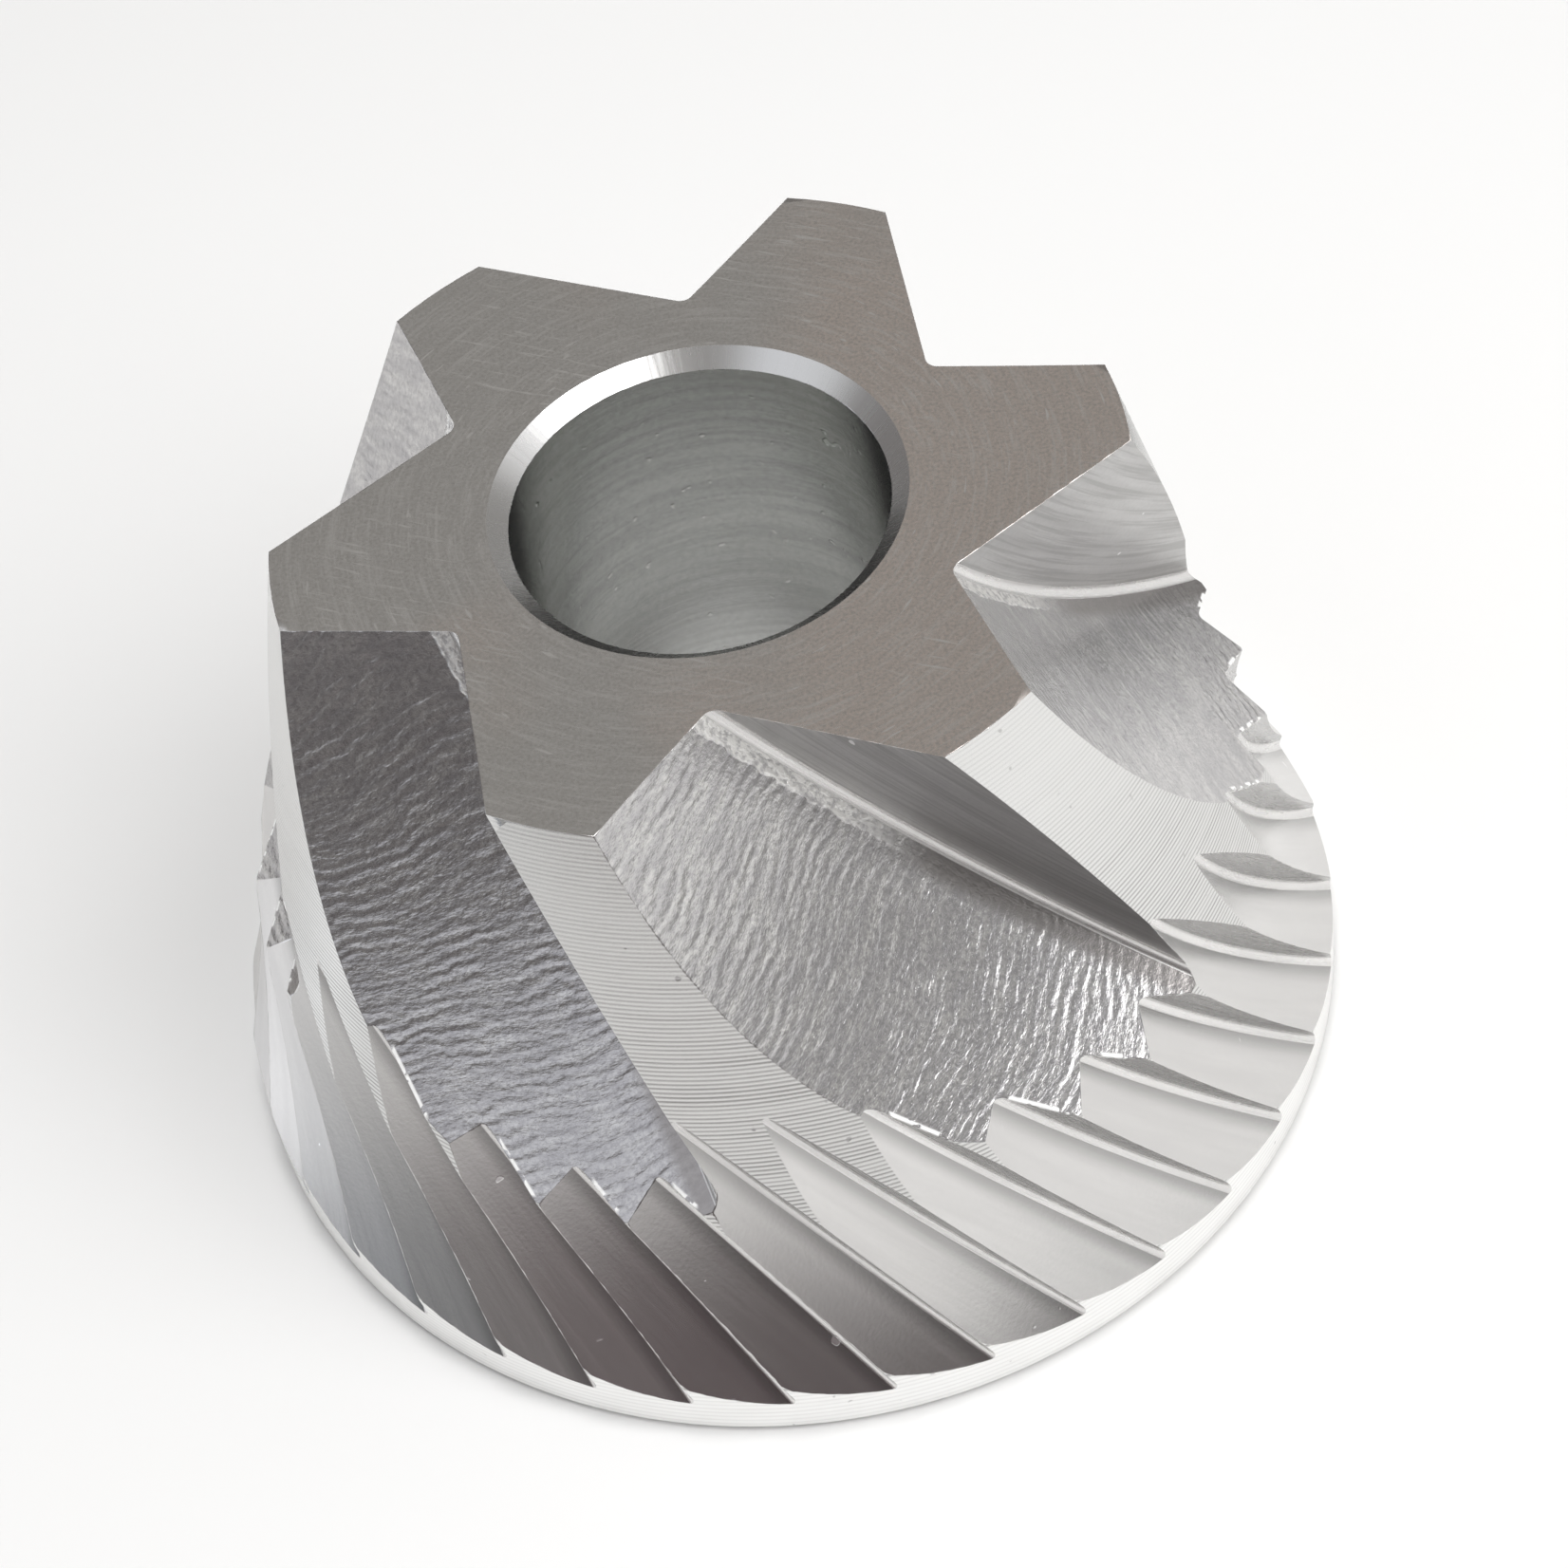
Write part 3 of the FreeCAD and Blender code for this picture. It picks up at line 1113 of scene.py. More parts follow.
@dataclass(frozen=True)
class Places:
    """Where a point of the surface is, in millimetres."""

    graph: Graph

    @property
    def object(self) -> Wire:
        """The point in the burr's own frame."""
        return self.graph.node("ShaderNodeTexCoord", {}, {}, "Object") * (1 / MM)

    @property
    def path(self) -> Wire:
        """Along the tool's path, across it, and the number of the pass."""
        return self.graph.attribute(PATH, "Vector")

    def stretched(self, along: float, across: float, seed: float = 0.0) -> Wire:
        """The path with its two distances scaled apart, and every pass given its own pattern."""
        return self.path * (along, across, PASS_APART) + (seed, seed * 1.7, seed * 0.3)

    def ring(self) -> tuple[Wire, Wire, Wire]:
        """Direction round the axis as two numbers, and the radius."""
        place = self.object
        x, y = place.part("X"), place.part("Y")
        radius = (x * x + y * y) ** 0.5
        return x / radius, y / radius, radius


@dataclass(frozen=True)
class Finish:
    """A machined steel surface: common colour, edge break, painted highlights along the edges and on the
    burrs, and specks.
    """

    name: str
    steel: Colour = (0.68, 0.67, 0.66)
    roughness: float = 0.25
    edge_width: float = 0.038
    worn_edge_highlight_share: float = 0.12
    worn_edge_highlight_tone: Colour = (0.82, 0.81, 0.80)
    burr_width: float = 0.17
    burr_painted_glint: Colour = (0.92, 0.92, 0.91)
    speck_tone: Colour = (0.95, 0.95, 0.95)

    def skim(self, graph: Graph, places: Places) -> Skim:
        """Colour, roughness and height of the surface. Each finish has its own."""
        raise NotImplementedError

    def _broken_edge(self, graph: Graph, places: Places) -> tuple[Wire, Wire]:
        """The normal, turned towards the edge's own direction where the edge is near.

        Returns:
            The normal, and how near the edge is, from 0 to 1.
        """
        wear = graph.noise(places.object, 2.2, 3.0).ease(0.35, 0.7, 0.15, 1.3)
        gap = graph.attribute(RIM_GAP, "Fac") / (wear * self.edge_width)
        near = gap.ease(1.0, 0.2)
        facing = graph.node(
            "ShaderNodeVectorTransform",
            {"vector_type": "NORMAL", "convert_from": "OBJECT", "convert_to": "WORLD"},
            {"Vector": graph.attribute(RIM_NORMAL, "Vector")},
        )
        own = graph.node("ShaderNodeNewGeometry", {}, {}, "Normal")
        return graph.vector_math("NORMALIZE", graph.shift(near * 0.6, own, facing)), near

    def _burrs(self, graph: Graph, places: Places) -> Wire:
        """Where the grooves left short burrs along the edges of the flutes, in broken dashes that get a
        painted glint.
        """
        near = graph.attribute(RIM_GAP, "Fac").ease(self.burr_width, self.burr_width / 2)
        broken = graph.noise(places.object, 2.6, 1.0).ease(0.45, 0.49)
        return near * broken * graph.attribute(RIM_BURRS, "Fac").ease(0.5, 1.0)

    def material(self) -> bpy.types.Material:
        """Builds the material."""
        material, graph = new_material(self.name)
        places = Places(graph)
        skim = self.skim(graph, places)
        normal, near = self._broken_edge(graph, places)
        burrs = self._burrs(graph, places)
        # Near each crisp edge the colour lifts towards a brighter tone: partly a worn edge, partly a painted
        # highlight.
        colour = graph.blend(near * self.worn_edge_highlight_share, skim.colour, self.worn_edge_highlight_tone)
        bump = {"Strength": 1.0, "Distance": MM, "Height": skim.height, "Normal": normal}
        sockets = {
            # On the burrs the steel turns into plain white: a painted glint for the light that they catch.
            "Metallic": 1 - burrs,
            "Base Color": graph.blend(burrs, colour, self.burr_painted_glint),
            "Roughness": skim.roughness,
            "Normal": graph.node("ShaderNodeBump", {}, bump),
        }
        graph.feed_node("Principled BSDF", sockets)
        return material


@dataclass(frozen=True)
class GroundFinish(Finish):
    """Flat ground steel: fine grain, faint arcs left by the stone, a few long scratches, and painted light
    that makes it lighter and warmer towards +x.
    """

    # The warm end is the lighter one; the painted light leans the face towards it.
    warm: Colour = (0.90, 0.80, 0.74)
    cool: Colour = (0.78, 0.765, 0.745)
    grain_tone: Colour = (0.57, 0.55, 0.53)
    scratch_tone: Colour = (0.98, 0.965, 0.95)

    def skim(self, graph: Graph, places: Places) -> Skim:
        """Grain and arcs of the grinding stone."""
        place = places.object
        turn_x, turn_y, radius = places.ring()
        arcs = graph.noise_at(turn_x * 5.5, turn_y * 5.5, radius * 7.0, 4.0, 0.75)
        grain = graph.noise(place, 9.0, 5.0, 0.75)
        # Random tone, plus painted light that turns the face lighter and warmer towards +x and a little
        # towards -y.
        tint_and_painted_light = graph.noise(place, 0.12, 2.0) + place.part("X") * 0.025 - place.part("Y") * 0.008
        lean = place.part("X") * 0.5 + place.part("Y") * 0.87
        side = place.part("X") * 0.87 - place.part("Y") * 0.5
        long_lines = graph.noise_at(side * 0.45, lean * 6.0, 3.0, 3.0, 0.6).ease(0.57, 0.68)
        patches = graph.noise(place, 0.16, 1.0).ease(0.45, 0.62)
        nicks = graph.noise_at(turn_x * 9.0, turn_y * 9.0, radius * 5.0, 1.0).ease(0.70, 0.78)
        scratch = (long_lines * patches).most(nicks)
        colour = graph.blend(tint_and_painted_light.ease(0.35, 0.68), self.cool, self.warm)
        colour = graph.blend(grain.ease(0.38, 0.66) * 0.8, colour, self.grain_tone)
        colour = graph.blend(arcs.ease(0.45, 0.72) * 0.5, colour, self.scratch_tone)
        colour = graph.blend(scratch * 0.8, colour, self.scratch_tone)
        rough = self.roughness + grain * 0.08 - scratch * 0.05
        height = arcs * 0.003 + grain * 0.004 - scratch * 0.002
        return Skim(colour, rough, height)


@dataclass(frozen=True)
class TurnedFinish(Finish):
    """Turned steel: fine even lines round the axis, with painted shade in their valleys, a little drift and a
    few nicks.
    """

    pitch: float = 0.165
    depth: float = 0.0013
    painted_valley_shade: Colour = (0.34, 0.335, 0.33)
    fine_tone: Colour = (0.78, 0.77, 0.755)
    nick_tone: Colour = (0.36, 0.35, 0.35)
    fall: tuple[float, float] = (22.0, 13.5)
    deeper: tuple[float, float] = (0.5, 1.9)

    def skim(self, graph: Graph, places: Places) -> Skim:
        """Lines of the turning tool."""
        turn_x, turn_y, _ = places.ring()
        up = places.object.part("Z")
        drift = graph.noise_at(turn_x * 3.0, turn_y * 3.0, up * 0.8, 1.0)
        lines = ((up + drift * 0.06) * (math.tau / self.pitch)).sine()
        depth = graph.noise_at(turn_x * 1.5, turn_y * 1.5, up * 1.9, 3.0).ease(0.3, 0.7, 0.75, 1.1)
        depth = depth * up.ease(*self.fall, *self.deeper)
        fine = graph.noise_at(turn_x * 6.0, turn_y * 6.0, up * 12.0, 3.0, 0.7)
        nicks = graph.noise(places.object, 2.4, 1.0).ease(0.74, 0.80)
        # Painted shade in the valleys of the lines, stronger where the lines are deeper.
        colour = graph.blend((lines.ease(0.2, -1.0) * depth * 0.5).least(1.0), self.steel, self.painted_valley_shade)
        colour = graph.blend(fine.ease(0.35, 0.7) * 0.3, colour, self.fine_tone)
        colour = graph.blend(nicks * 0.6, colour, self.nick_tone)
        rough = self.roughness + fine * 0.08
        height = lines * depth * self.depth + fine * 0.001 - nicks * 0.004
        return Skim(colour, rough, height)


@dataclass(frozen=True)
class RippledFinish(Finish):
    """Milled steel: wavy ripples across the path, merging and fading, with painted shade in their hollows and
    a rough strip along the root.
    """

    pitch: float = 0.45
    depth: float = 0.0118
    strip_width: float = 0.82
    strip_tone: Colour = (0.93, 0.92, 0.90)
    stain: Colour = (0.33, 0.31, 0.30)
    painted_hollow_shade: Colour = (0.54, 0.53, 0.535)
    grit_tone: Colour = (0.42, 0.41, 0.42)

    def skim(self, graph: Graph, places: Places) -> Skim:
        """Ripples of the wheel's rim."""
        path = places.path
        run, across = path.part("X"), path.part("Y")
        number = path.part("Z") * PASS_APART
        bend = graph.noise_at(run * 0.07, across * 0.12, number, 0.0)
        along = run + (bend - 0.5) * 3.5
        wander = graph.noise_at(along * 0.45, across * 0.55, number, 3.0, 0.55)
        waves = ((along + wander * 1.2) * (math.tau / self.pitch)).sine()
        patchy = graph.noise_at(along * 0.5, across * 0.6, number + 4.0, 2.0).ease(0.38, 0.6, 0.25)
        merged = graph.noise_at(along * 2.3, across * 0.7, number + 9.0, 4.0, 0.6)
        short = graph.noise_at(along * 5.0, across * 2.2, number + 5.0, 3.0, 0.6)
        grit = graph.noise(places.object, 6.0, 3.0, 0.65)
        streaks = graph.noise_at(run * 0.12, across * 6.0, number, 3.0, 0.65)
        ragged = across + (graph.noise_at(run * 1.6, number, 1.0, 2.0) - 0.5) * 0.35
        strip = ragged.ease(self.strip_width, self.strip_width - 0.12) * run.ease(-5.0, -1.0)
        stained = across.ease(1.3, 0.7) * run.ease(-3.0, -6.0)
        pits = graph.noise_at(run * 4.0, across * 5.0, number, 3.0, 0.6)
        ripple = waves * patchy * 0.38 + (merged - 0.5) * 1.8 + (short - 0.5) * 1.4
        ripple = ripple * (1 - strip) * (1 - stained * 0.7)
        height = ripple * self.depth + grit * 0.008 + (pits * strip) * 0.06 + streaks * 0.003
        # Painted shade in the hollows of the ripples, where the merged noise sinks the surface.
        colour = graph.blend(merged.ease(0.35, 0.7), self.painted_hollow_shade, self.steel)
        colour = graph.blend(grit.ease(0.4, 0.65) * 0.6, colour, self.grit_tone)
        colour = graph.blend(stained * 0.8, colour, self.stain)
        colour = graph.blend(strip * pits.ease(0.38, 0.56, 0.15), colour, self.strip_tone)
        rough = self.roughness + (1 - merged) * 0.06 + strip * 0.22
        return Skim(colour, rough, height)


@dataclass(frozen=True)
class StreakedFinish(Finish):
    """Steel wiped by the wheel: satin, with fine streaks along the path."""

    streak: float = 0.0009
    tone: Colour = (0.60, 0.59, 0.585)
    lined: float = 0.0
    line_tone: Colour = (0.30, 0.295, 0.29)
    shade: float = 0.0
    shade_tone: Colour = (0.36, 0.355, 0.35)

    def skim(self, graph: Graph, places: Places) -> Skim:
        """Streaks along the path."""
        fine = graph.noise(places.stretched(0.3, 8.0), 1.0, 3.0, 0.65)
        broad = graph.noise(places.stretched(0.14, 1.8, 5.0), 1.0, 2.0)
        grain = graph.noise(places.object, 7.0, 2.0)
        specks = graph.noise(places.object, 2.2, 0.0).ease(0.86, 0.89)
        colour = graph.blend(broad.ease(0.3, 0.7) * 0.5, self.steel, self.tone)
        colour = graph.blend(grain.ease(0.35, 0.75) * 0.2, colour, self.tone)
        if self.lined:
            lines = graph.noise(places.stretched(0.12, 5.0, 2.0), 1.0, 3.0, 0.7)
            colour = graph.blend(lines.ease(0.46, 0.62) * self.lined, colour, self.line_tone)
        if self.shade:
            near_root = places.path.part("Y").ease(0.9, 0.2)
            colour = graph.blend(near_root * self.shade, colour, self.shade_tone)
        colour = graph.blend(specks, colour, self.speck_tone)
        rough = self.roughness + fine * 0.1
        height = fine * self.streak + grain * 0.0014 + specks * 0.004
        return Skim(colour, rough, height)


@dataclass(frozen=True)
class BoredFinish(Finish):
    """Bored steel: dull, with faint rings and small bright specks of dust and chips."""

    dull: Colour = (0.46, 0.46, 0.45)
    speck_tone: Colour = (0.95, 0.95, 0.93)

    def skim(self, graph: Graph, places: Places) -> Skim:
        """Rings of the boring tool and specks."""
        turn_x, turn_y, _ = places.ring()
        up = places.object.part("Z")
        rings = graph.noise_at(turn_x * 0.8, turn_y * 0.8, up * 3.2, 3.0, 0.6)
        grain = graph.noise(places.object, 5.0, 3.0, 0.6)
        specks = graph.noise(places.object, 2.1, 1.0).ease(0.71, 0.78)
        colour = graph.blend(grain.ease(0.35, 0.75) * 0.25, self.steel, self.dull)
        colour = graph.blend(rings.ease(0.4, 0.65) * 0.25, colour, self.dull)
        colour = graph.blend(specks * 0.8, colour, self.speck_tone)
        rough = self.roughness + rings * 0.1
        height = rings * 0.004 + grain * 0.003 + specks * 0.01
        return Skim(colour, rough, height)


@dataclass(frozen=True)
class ChamferFinish(Finish):
    """A turned chamfer: bright, with short chatter marks across it."""

    def skim(self, graph: Graph, places: Places) -> Skim:
        """Rings, and chatter that comes and goes round the edge."""
        turn_x, turn_y, radius = places.ring()
        chatter = graph.noise_at(turn_x * 34.0, turn_y * 34.0, radius * 0.5, 1.0)
        where = graph.noise(graph.vector(turn_x, turn_y, 2.0), 1.6, 1.0).ease(0.45, 0.65)
        where = where * turn_y.ease(-0.3, 0.4)
        rings = graph.noise_at(turn_x * 2.0, turn_y * 2.0, radius * 12.0, 2.0)
        height = chatter * where * 0.006 + rings * 0.002
        return Skim(self.steel, self.roughness + chatter * 0.06, height)


FINISHES: dict[Region, Finish] = {
    Region.TOP: GroundFinish("steel_ground", roughness=0.24),
    Region.UNDERSIDE: GroundFinish("steel_ground_under", roughness=0.30),
    Region.LAND: TurnedFinish("steel_turned", steel=(0.735, 0.735, 0.725), roughness=0.20),
    Region.BAND: TurnedFinish(
        "steel_band", steel=(0.92, 0.92, 0.91), roughness=0.28, pitch=0.23, depth=0.0007, deeper=(0.4, 0.4)
    ),
    Region.BORE: BoredFinish("steel_bored", steel=(0.82, 0.825, 0.81), roughness=0.15, edge_width=0.02),
    Region.CHAMFER: ChamferFinish(
        "steel_chamfer", steel=(0.72, 0.715, 0.71), roughness=0.24, edge_width=0.02
    ),
    Region.FLUTE_WALL: StreakedFinish(
        "steel_flute_wall",
        steel=(0.58, 0.575, 0.57),
        tone=(0.38, 0.375, 0.37),
        roughness=0.34,
        streak=0.003,
        lined=0.45,
    ),
    Region.FLUTE_FLOOR: RippledFinish("steel_flute_floor", roughness=0.19),
    Region.FLUTE_ROOT: StreakedFinish("steel_flute_root", steel=(0.78, 0.77, 0.76), roughness=0.22),
    Region.GROOVE_WALL: StreakedFinish(
        "steel_groove_wall",
        steel=(0.42, 0.415, 0.41),
        tone=(0.38, 0.375, 0.37),
        roughness=0.22,
        streak=0.0004,
        lined=0.3,
    ),
    Region.GROOVE_FLOOR: StreakedFinish("steel_groove_floor", roughness=0.17, streak=0.0006, shade=0.85),
    Region.GROOVE_ROOT: StreakedFinish(
        "steel_groove_root", steel=(0.78, 0.77, 0.76), roughness=0.22, streak=0.0005
    ),
}


# The burr


@dataclass
class ConeBurr:
    """The cone burr: blank, six crushing flutes and thirty-six grinding grooves."""

    blank: Blank = field(default_factory=Blank)
    flutes: Wheel = Wheel(
        count=6,
        height=20.5,
        angle=40.8,
        depth=5.3,
        lean=36.6,
        roll=39.1,
        taper=6.25,
        corner=0.3,
        wall=Region.FLUTE_WALL,
        floor=Region.FLUTE_FLOOR,
        root=Region.FLUTE_ROOT,
    )
    grooves: Wheel = Wheel(
        count=36,
        height=7.0,
        angle=8.6,
        depth=1.17,
        lean=34.8,
        roll=31.3,
        taper=9.4,
        corner=0.25,
        wall=Region.GROOVE_WALL,
        floor=Region.GROOVE_FLOOR,
        root=Region.GROOVE_ROOT,
    )
    wide_facet: float = 0.75
    facet: float = 0.5
    fine_facet: float = 0.35
    root_facet: float = 0.14
    narrowest: float = 0.09
    longest: float = 1.7
    settling: int = 3

    def skin(self) -> Skin:
        """The refined triangles of the burr."""
        surfaces = self.blank.surfaces()
        for wheel in (self.flutes, self.grooves):
            surfaces += wheel.surfaces(self.blank)
        skin = Skin.from_object(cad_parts[NODE], surfaces)
        LOG.info("facets as packed: %d", len(skin.triangles))
        spacing = {region: self.facet for region in Region}
        spacing[Region.TOP] = spacing[Region.UNDERSIDE] = spacing[Region.BORE] = self.wide_facet
        spacing[Region.FLUTE_FLOOR] = self.fine_facet
        spacing[Region.FLUTE_ROOT] = spacing[Region.GROOVE_ROOT] = self.root_facet
        skin.renew(spacing)
        skin.refine({region: self.longest * step for region, step in spacing.items()}, self.narrowest)
        skin.settle(self.settling)
        return skin

    def build(self) -> bpy.types.Object:
        """Builds the piece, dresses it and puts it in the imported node's place."""
        skin = self.skin()
        mesh = bpy.data.meshes.new("cone_burr_steel")
        mesh.vertices.add(len(skin.points))
        mesh.vertices.foreach_set("co", (skin.points * MM).astype(np.float32).ravel())
        mesh.loops.add(skin.triangles.size)
        mesh.loops.foreach_set("vertex_index", skin.triangles.astype(np.int32).ravel())
        mesh.polygons.add(len(skin.triangles))
        mesh.polygons.foreach_set("loop_start", np.arange(0, skin.triangles.size, 3, dtype=np.int32))
        regions = list(FINISHES)
        numbers = np.array([regions.index(surface.region) for surface in skin.surfaces], np.int32)
        mesh.polygons.foreach_set("material_index", numbers[skin.owner])
        for region in regions:
            mesh.materials.append(FINISHES[region].material())
        mesh.update(calc_edges=True)
        mesh.normals_split_custom_set(skin.normals())
        gap, facing, burred = skin.rims()
        mesh.attributes.new(PATH, "FLOAT_VECTOR", "CORNER").data.foreach_set("vector", skin.paths().ravel())
        mesh.attributes.new(RIM_GAP, "FLOAT", "POINT").data.foreach_set("value", gap)
        mesh.attributes.new(RIM_NORMAL, "FLOAT_VECTOR", "POINT").data.foreach_set("vector", facing.ravel())
        mesh.attributes.new(RIM_BURRS, "FLOAT", "POINT").data.foreach_set("value", burred)
        piece = placed("cone_burr_steel", mesh)
        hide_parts(NODE)
        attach(piece, BODY)
        LOG.info("facets as dressed: %d, corners: %d", len(skin.triangles), len(skin.points))
        return piece


# Studio


def towards(azimuth: float, elevation: float) -> Vector:
    """A direction away from the burr.

    Args:
        azimuth: 0 is the camera's side, and 90 is its right.
        elevation: the angle above the floor.

    Returns:
        The unit vector.
    """
    around, up = math.radians(azimuth), math.radians(elevation)
    return Vector((math.sin(around) * math.cos(up), -math.cos(around) * math.cos(up), math.sin(up)))


@dataclass(frozen=True)
class Glow:
    """A soft patch of the room: a light, or a dark screen where its level is low."""

    azimuth: float
    elevation: float
    spread: float
    level: float
    colour: Colour = (1.0, 1.0, 1.0)
    core: float = 0.0

    def over(self, graph: Graph, looking: Wire, room: Operand) -> Wire:
        """Lays the patch over what is there already."""
        facing = graph.vector_math("DOT_PRODUCT", looking, tuple(towards(self.azimuth, self.elevation)))
        share = facing.ease(math.cos(math.radians(self.spread)), math.cos(math.radians(self.core)))
        return graph.blend(share, room, tuple(self.level * part for part in self.colour))


@dataclass(frozen=True)
class Softbox:
    """A round lamp with an even face, aimed at the burr."""

    name: str
    azimuth: float
    elevation: float
    distance: float
    diameter: float
    level: float
    mirrored: bool = True

    def build(self) -> bpy.types.Object:
        """Hangs the lamp. Its level is the brightness of its face, which the steel may mirror or not."""
        lamp = bpy.data.lights.new(self.name, "AREA")
        lamp.shape = "DISK"
        lamp.size = self.diameter * MM
        lamp.energy = self.level * math.pi * math.pi * (self.diameter * MM / 2) ** 2
        away = towards(self.azimuth, self.elevation)
        thing = placed(self.name, lamp)
        thing.location = away * self.distance * MM
        thing.rotation_euler = away.to_track_quat("Z", "Y").to_euler()
        thing.visible_glossy = self.mirrored
        return thing


@dataclass(frozen=True)
class PaintedReflection:
    """A glowing sheet round a part of the burr, a painted reflection, with painted shade on the floor before
    it.

    Only the steel mirrors it. Its edges are soft, and its tone changes from one end to the other.
    """

    name: str
    start: float
    end: float
    tones: tuple[tuple[float, Colour], ...]
    soft: float = 12.0
    inner: float = 23.0
    radius: float = 75.0
    height: float = 22.0
    soft_height: float = 8.0
    # Facing range over which the apron's painted shade on the floor comes in, and its share before that.
    painted_floor_facing: tuple[float, float] = (0.74, 0.88)
    apron: float = 0.0
    columns: int = 61

    def _shape(self) -> bmesh.types.BMesh:
        """The apron on the floor and the upright sheet behind it, round one turn."""
        shape = bmesh.new()
        turns = np.radians(np.linspace(self.start, self.end, self.columns))
        foot, head = APRON_HEIGHT, APRON_HEIGHT + self.height
        rows = [
            [shape.verts.new(Vector((np.sin(turn) * out, -np.cos(turn) * out, up)) * MM) for turn in turns]
            for out, up in ((self.inner, foot), (self.radius, foot), (self.radius, head))
        ]
        for low, high in zip(rows, rows[1:]):
            for index in range(len(low) - 1):
                shape.faces.new((low[index], low[index + 1], high[index + 1], high[index]))
        return shape

    def _material(self) -> bpy.types.Material:
        """A painted glow in the sheet's tone that fades out towards its edges, and on the apron comes in at
        grazing angles as painted shade on the floor.
        """
        material, graph = new_material(self.name)
        place = Places(graph).object
        turn = graph.math("ARCTAN2", place.part("X"), -place.part("Y")) * (180 / math.pi)
        out = (place.part("X") ** 2.0 + place.part("Y") ** 2.0) ** 0.5
        shallow = graph.node("ShaderNodeLayerWeight", {}, {"Blend": 0.5}, "Facing")
        upright = out.ease(self.radius - 0.4, self.radius - 0.2)
        share = turn.ease(self.start, self.start + self.soft) * turn.ease(self.end, self.end - self.soft)
        share = share * shallow.ease(*self.painted_floor_facing, self.apron).most(upright)
        share = share * place.part("Z").ease(self.height, self.height - self.soft_height)
        along = (turn - self.start) / (self.end - self.start)
        tone = graph.node("ShaderNodeValToRGB", {"stops": self.tones}, {"Fac": along})
        clear = graph.node("ShaderNodeBsdfTransparent", {}, {})
        glow = graph.node("ShaderNodeEmission", {}, {"Color": tone})
        mixed = graph.node("ShaderNodeMixShader", {}, {0: share, 1: clear, 2: glow})
        graph.feed_node("Material Output", {"Surface": mixed})
        return material

    def build(self) -> bpy.types.Object:
        """Stands the painted reflection on the floor, unseen by the camera, by diffuse light and by shadows.
        """
        mesh = meshed(self.name, self._shape())
        mesh.materials.append(self._material())
        screen = placed(self.name, mesh)
        screen.visible_camera = screen.visible_diffuse = screen.visible_shadow = False
        return screen


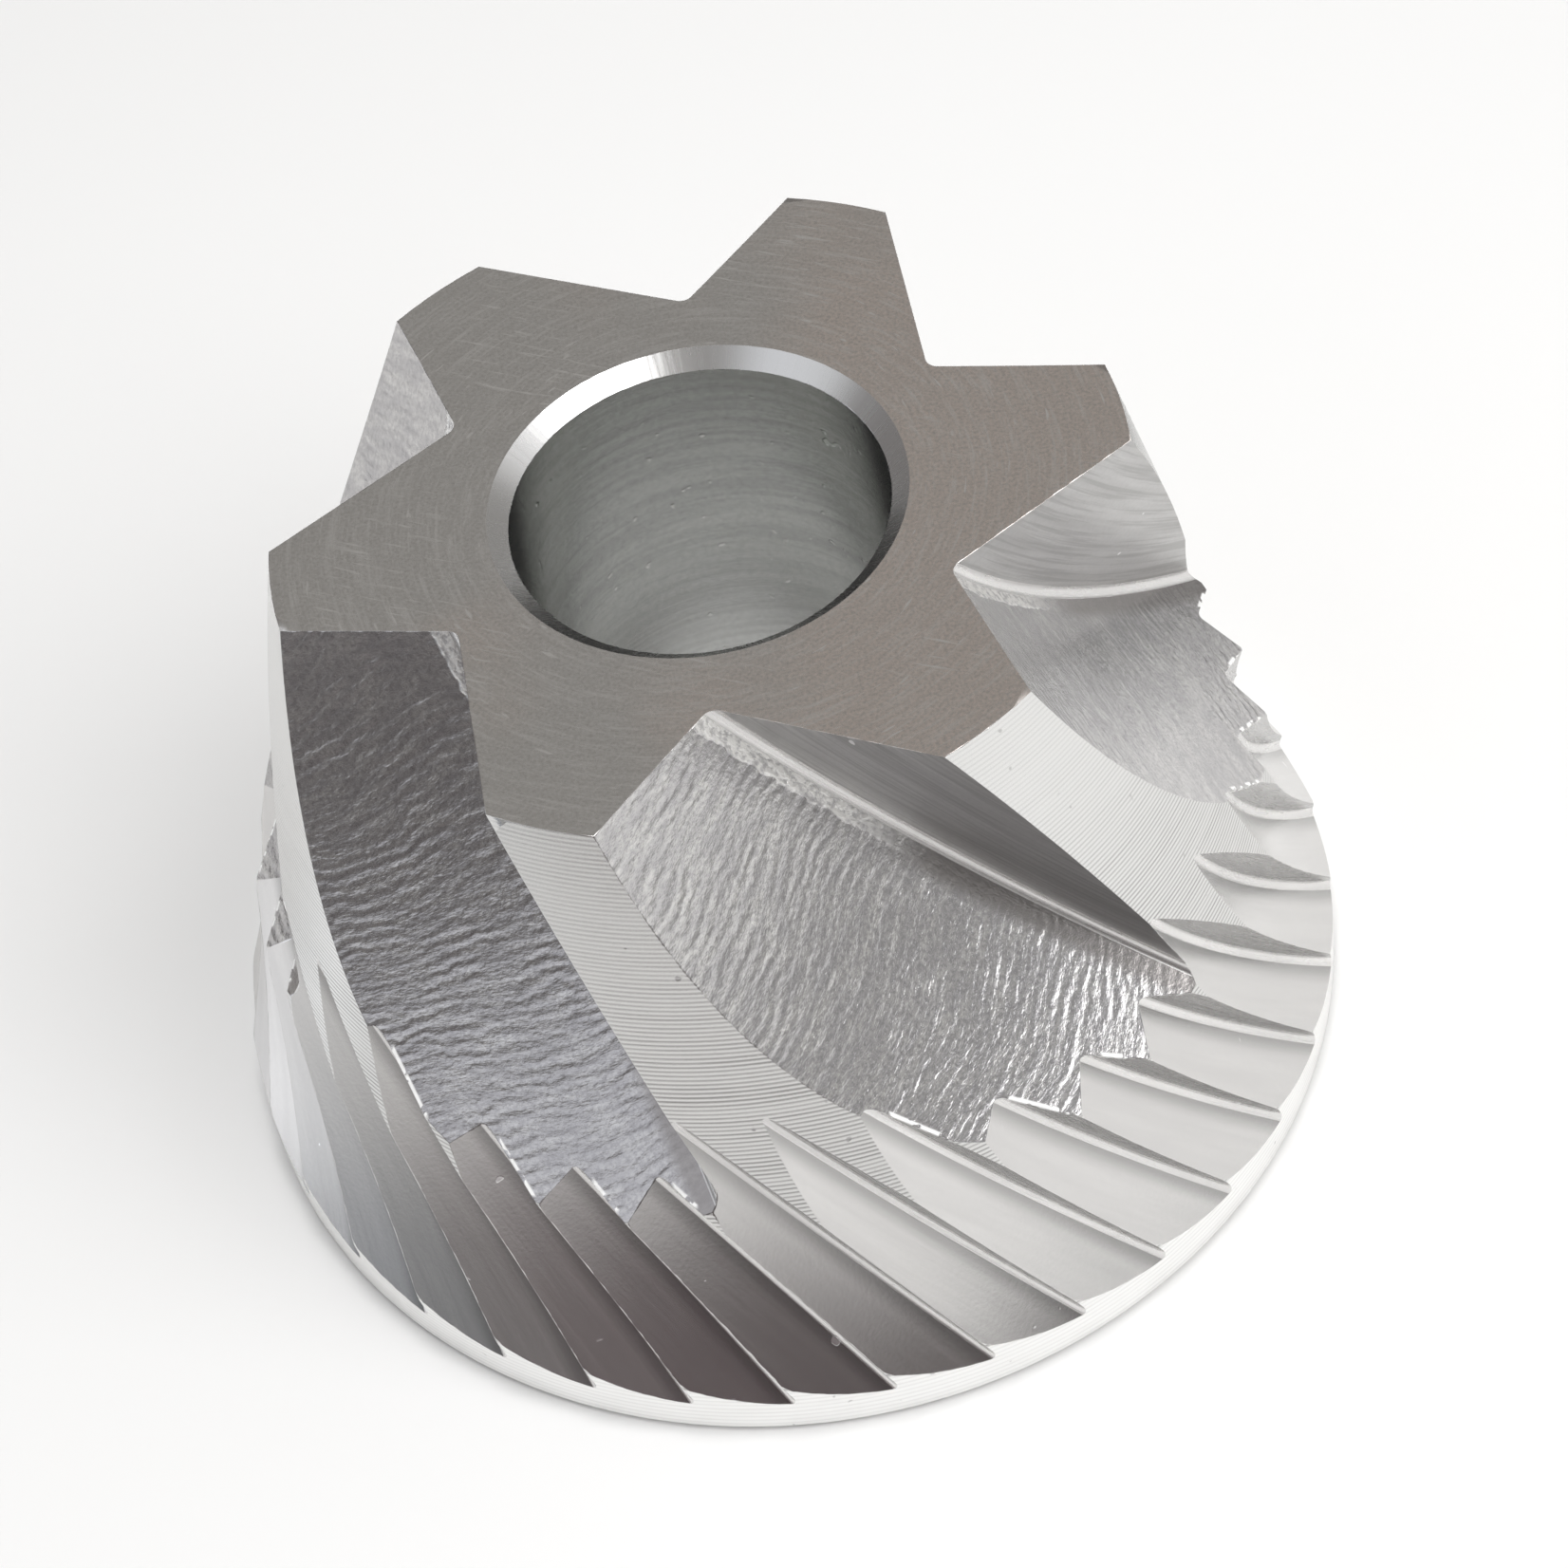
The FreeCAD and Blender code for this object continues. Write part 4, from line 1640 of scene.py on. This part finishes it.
@dataclass
class Studio:
    """A pale floor in a soft grey room with large lights, painted reflections that only the steel sees, and
    the camera.
    """

    room: Colour = (0.315, 0.307, 0.296)
    floor_radius: float = 1500.0
    floor_colour: Colour = (0.84, 0.838, 0.832)
    floor_shade: float = 0.985
    glows: tuple[Glow, ...] = (
        Glow(4, 5, 58, 0.145, (1.0, 0.92, 0.92), 24),
        Glow(-130, 12, 45, 0.22, (1.0, 0.95, 0.93), 10),
        Glow(-76, 46, 28, 0.85, (0.97, 0.99, 1.02), 8),
        Glow(-98, -2, 26, 1.3, (0.93, 0.97, 1.05), 6),
        Glow(-52, 32, 22, 0.9, (0.96, 0.98, 1.04), 4),
        Glow(85, 42, 32, 0.9, (1.0, 1.0, 1.0), 8),
        Glow(58, 28, 14, 0.5, (0.99, 0.99, 1.0), 3),
    )
    softboxes: tuple[Softbox, ...] = (
        Softbox("key_lamp", 48, 52, 260, 185, 4.0),
        Softbox("top_lamp", 180, 87, 300, 120, 12.0, mirrored=False),
    )
    # Painted reflections: glowing sheets that only the steel mirrors. They paint a bright window and the dark
    # room in front, the floor to the right and a grey mass behind on the right, with painted shade on the
    # floor before them.
    screens: tuple[PaintedReflection, ...] = (
        PaintedReflection(
            "front_painted_reflection",
            -108.0,
            27.0,
            (
                (0.00, (0.75, 0.79, 0.86)),
                (0.09, (1.35, 1.41, 1.52)),
                (0.14, (2.00, 2.06, 2.20)),
                (0.19, (1.05, 1.10, 1.18)),
                (0.245, (0.36, 0.38, 0.42)),
                (0.37, (0.25, 0.26, 0.27)),
                (0.50, (0.20, 0.18, 0.18)),
                (0.64, (0.165, 0.135, 0.138)),
                (0.76, (0.120, 0.095, 0.098)),
                (0.88, (0.150, 0.130, 0.130)),
                (1.00, (0.18, 0.155, 0.155)),
            ),
            apron=0.12,
        ),
        PaintedReflection(
            "side_painted_reflection",
            36.0,
            124.0,
            ((0.0, (0.60, 0.60, 0.59)), (0.3, (1.0, 1.0, 0.99)), (1.0, (0.9, 0.9, 0.89))),
            radius=200.0,
            height=60.0,
            soft_height=48.0,
            painted_floor_facing=(0.84, 0.96),
        ),
        PaintedReflection(
            "back_painted_reflection",
            116.0,
            172.0,
            ((0.0, (0.19, 0.189, 0.186)), (1.0, (0.35, 0.348, 0.34))),
            soft=8.0,
            inner=30.0,
            radius=36.0,
            height=11.0,
            soft_height=5.0,
        ),
    )
    camera_place: tuple[float, float, float] = (0.0, -86.434, 112.947)
    camera_aim: tuple[float, float, float] = (0.9, 0.0, 9.6)
    camera_roll: float = -11.27
    lens: float = 92.0
    sensor: float = 36.0
    clip: tuple[float, float] = (0.005, 10.0)

    def build_floor(self) -> bpy.types.Object:
        """A round floor under the burr."""
        shape = bmesh.new()
        bmesh.ops.create_circle(shape, cap_ends=True, segments=128, radius=self.floor_radius * MM)
        bmesh.ops.translate(shape, verts=shape.verts, vec=(0.0, 0.0, -FLOOR_GAP * MM))
        floor = placed("floor", meshed("floor", shape))
        material, graph = new_material("pale_floor")
        fibre = graph.noise(Places(graph).object, 0.02, 3.0)
        darker = tuple(self.floor_shade * part for part in self.floor_colour)
        colour = graph.blend(fibre, self.floor_colour, darker)
        sockets = {"Base Color": colour, "Roughness": 0.55, "Specular IOR Level": 0.3}
        graph.feed_node("Principled BSDF", sockets)
        floor.data.materials.append(material)
        return floor

    def build_world(self) -> None:
        """The room and its lights, as the steel mirrors them."""
        world = bpy.data.worlds.new("studio")
        world.use_nodes = True
        graph = Graph(world.node_tree)
        looking = graph.node("ShaderNodeTexCoord", {}, {}, "Generated")
        room: Operand = self.room
        for glow in self.glows:
            room = glow.over(graph, looking, room)
        graph.feed_node("Background", {"Color": room})
        bpy.context.scene.world = world

    def build_camera(self) -> bpy.types.Object:
        """The camera, close above the burr and a little tilted."""
        data = bpy.data.cameras.new("camera")
        data.lens = self.lens
        data.sensor_width = self.sensor
        data.clip_start, data.clip_end = self.clip
        camera = placed("camera", data)
        place, aim = Vector(self.camera_place) * MM, Vector(self.camera_aim) * MM
        camera.location = place
        level = (aim - place).to_track_quat("-Z", "Y").to_matrix()
        roll = Matrix.Rotation(math.radians(self.camera_roll), 3, "Z")
        camera.rotation_euler = (level @ roll).to_euler()
        bpy.context.scene.camera = camera
        return camera


def main() -> None:
    """Builds the burr and the studio round it."""
    logging.basicConfig(level=logging.INFO, format="%(name)s: %(message)s")
    bpy.context.scene.view_settings.view_transform = "Standard"
    burr = ConeBurr().build()
    LOG.info("built %s", burr.name)
    studio = Studio()
    for thing in (studio.build_floor(), studio.build_camera(), *(box.build() for box in studio.softboxes)):
        LOG.info("built %s", thing.name)
    for screen in studio.screens:
        LOG.info("built %s", screen.build().name)
    studio.build_world()


if __name__ == "__main__":
    main()
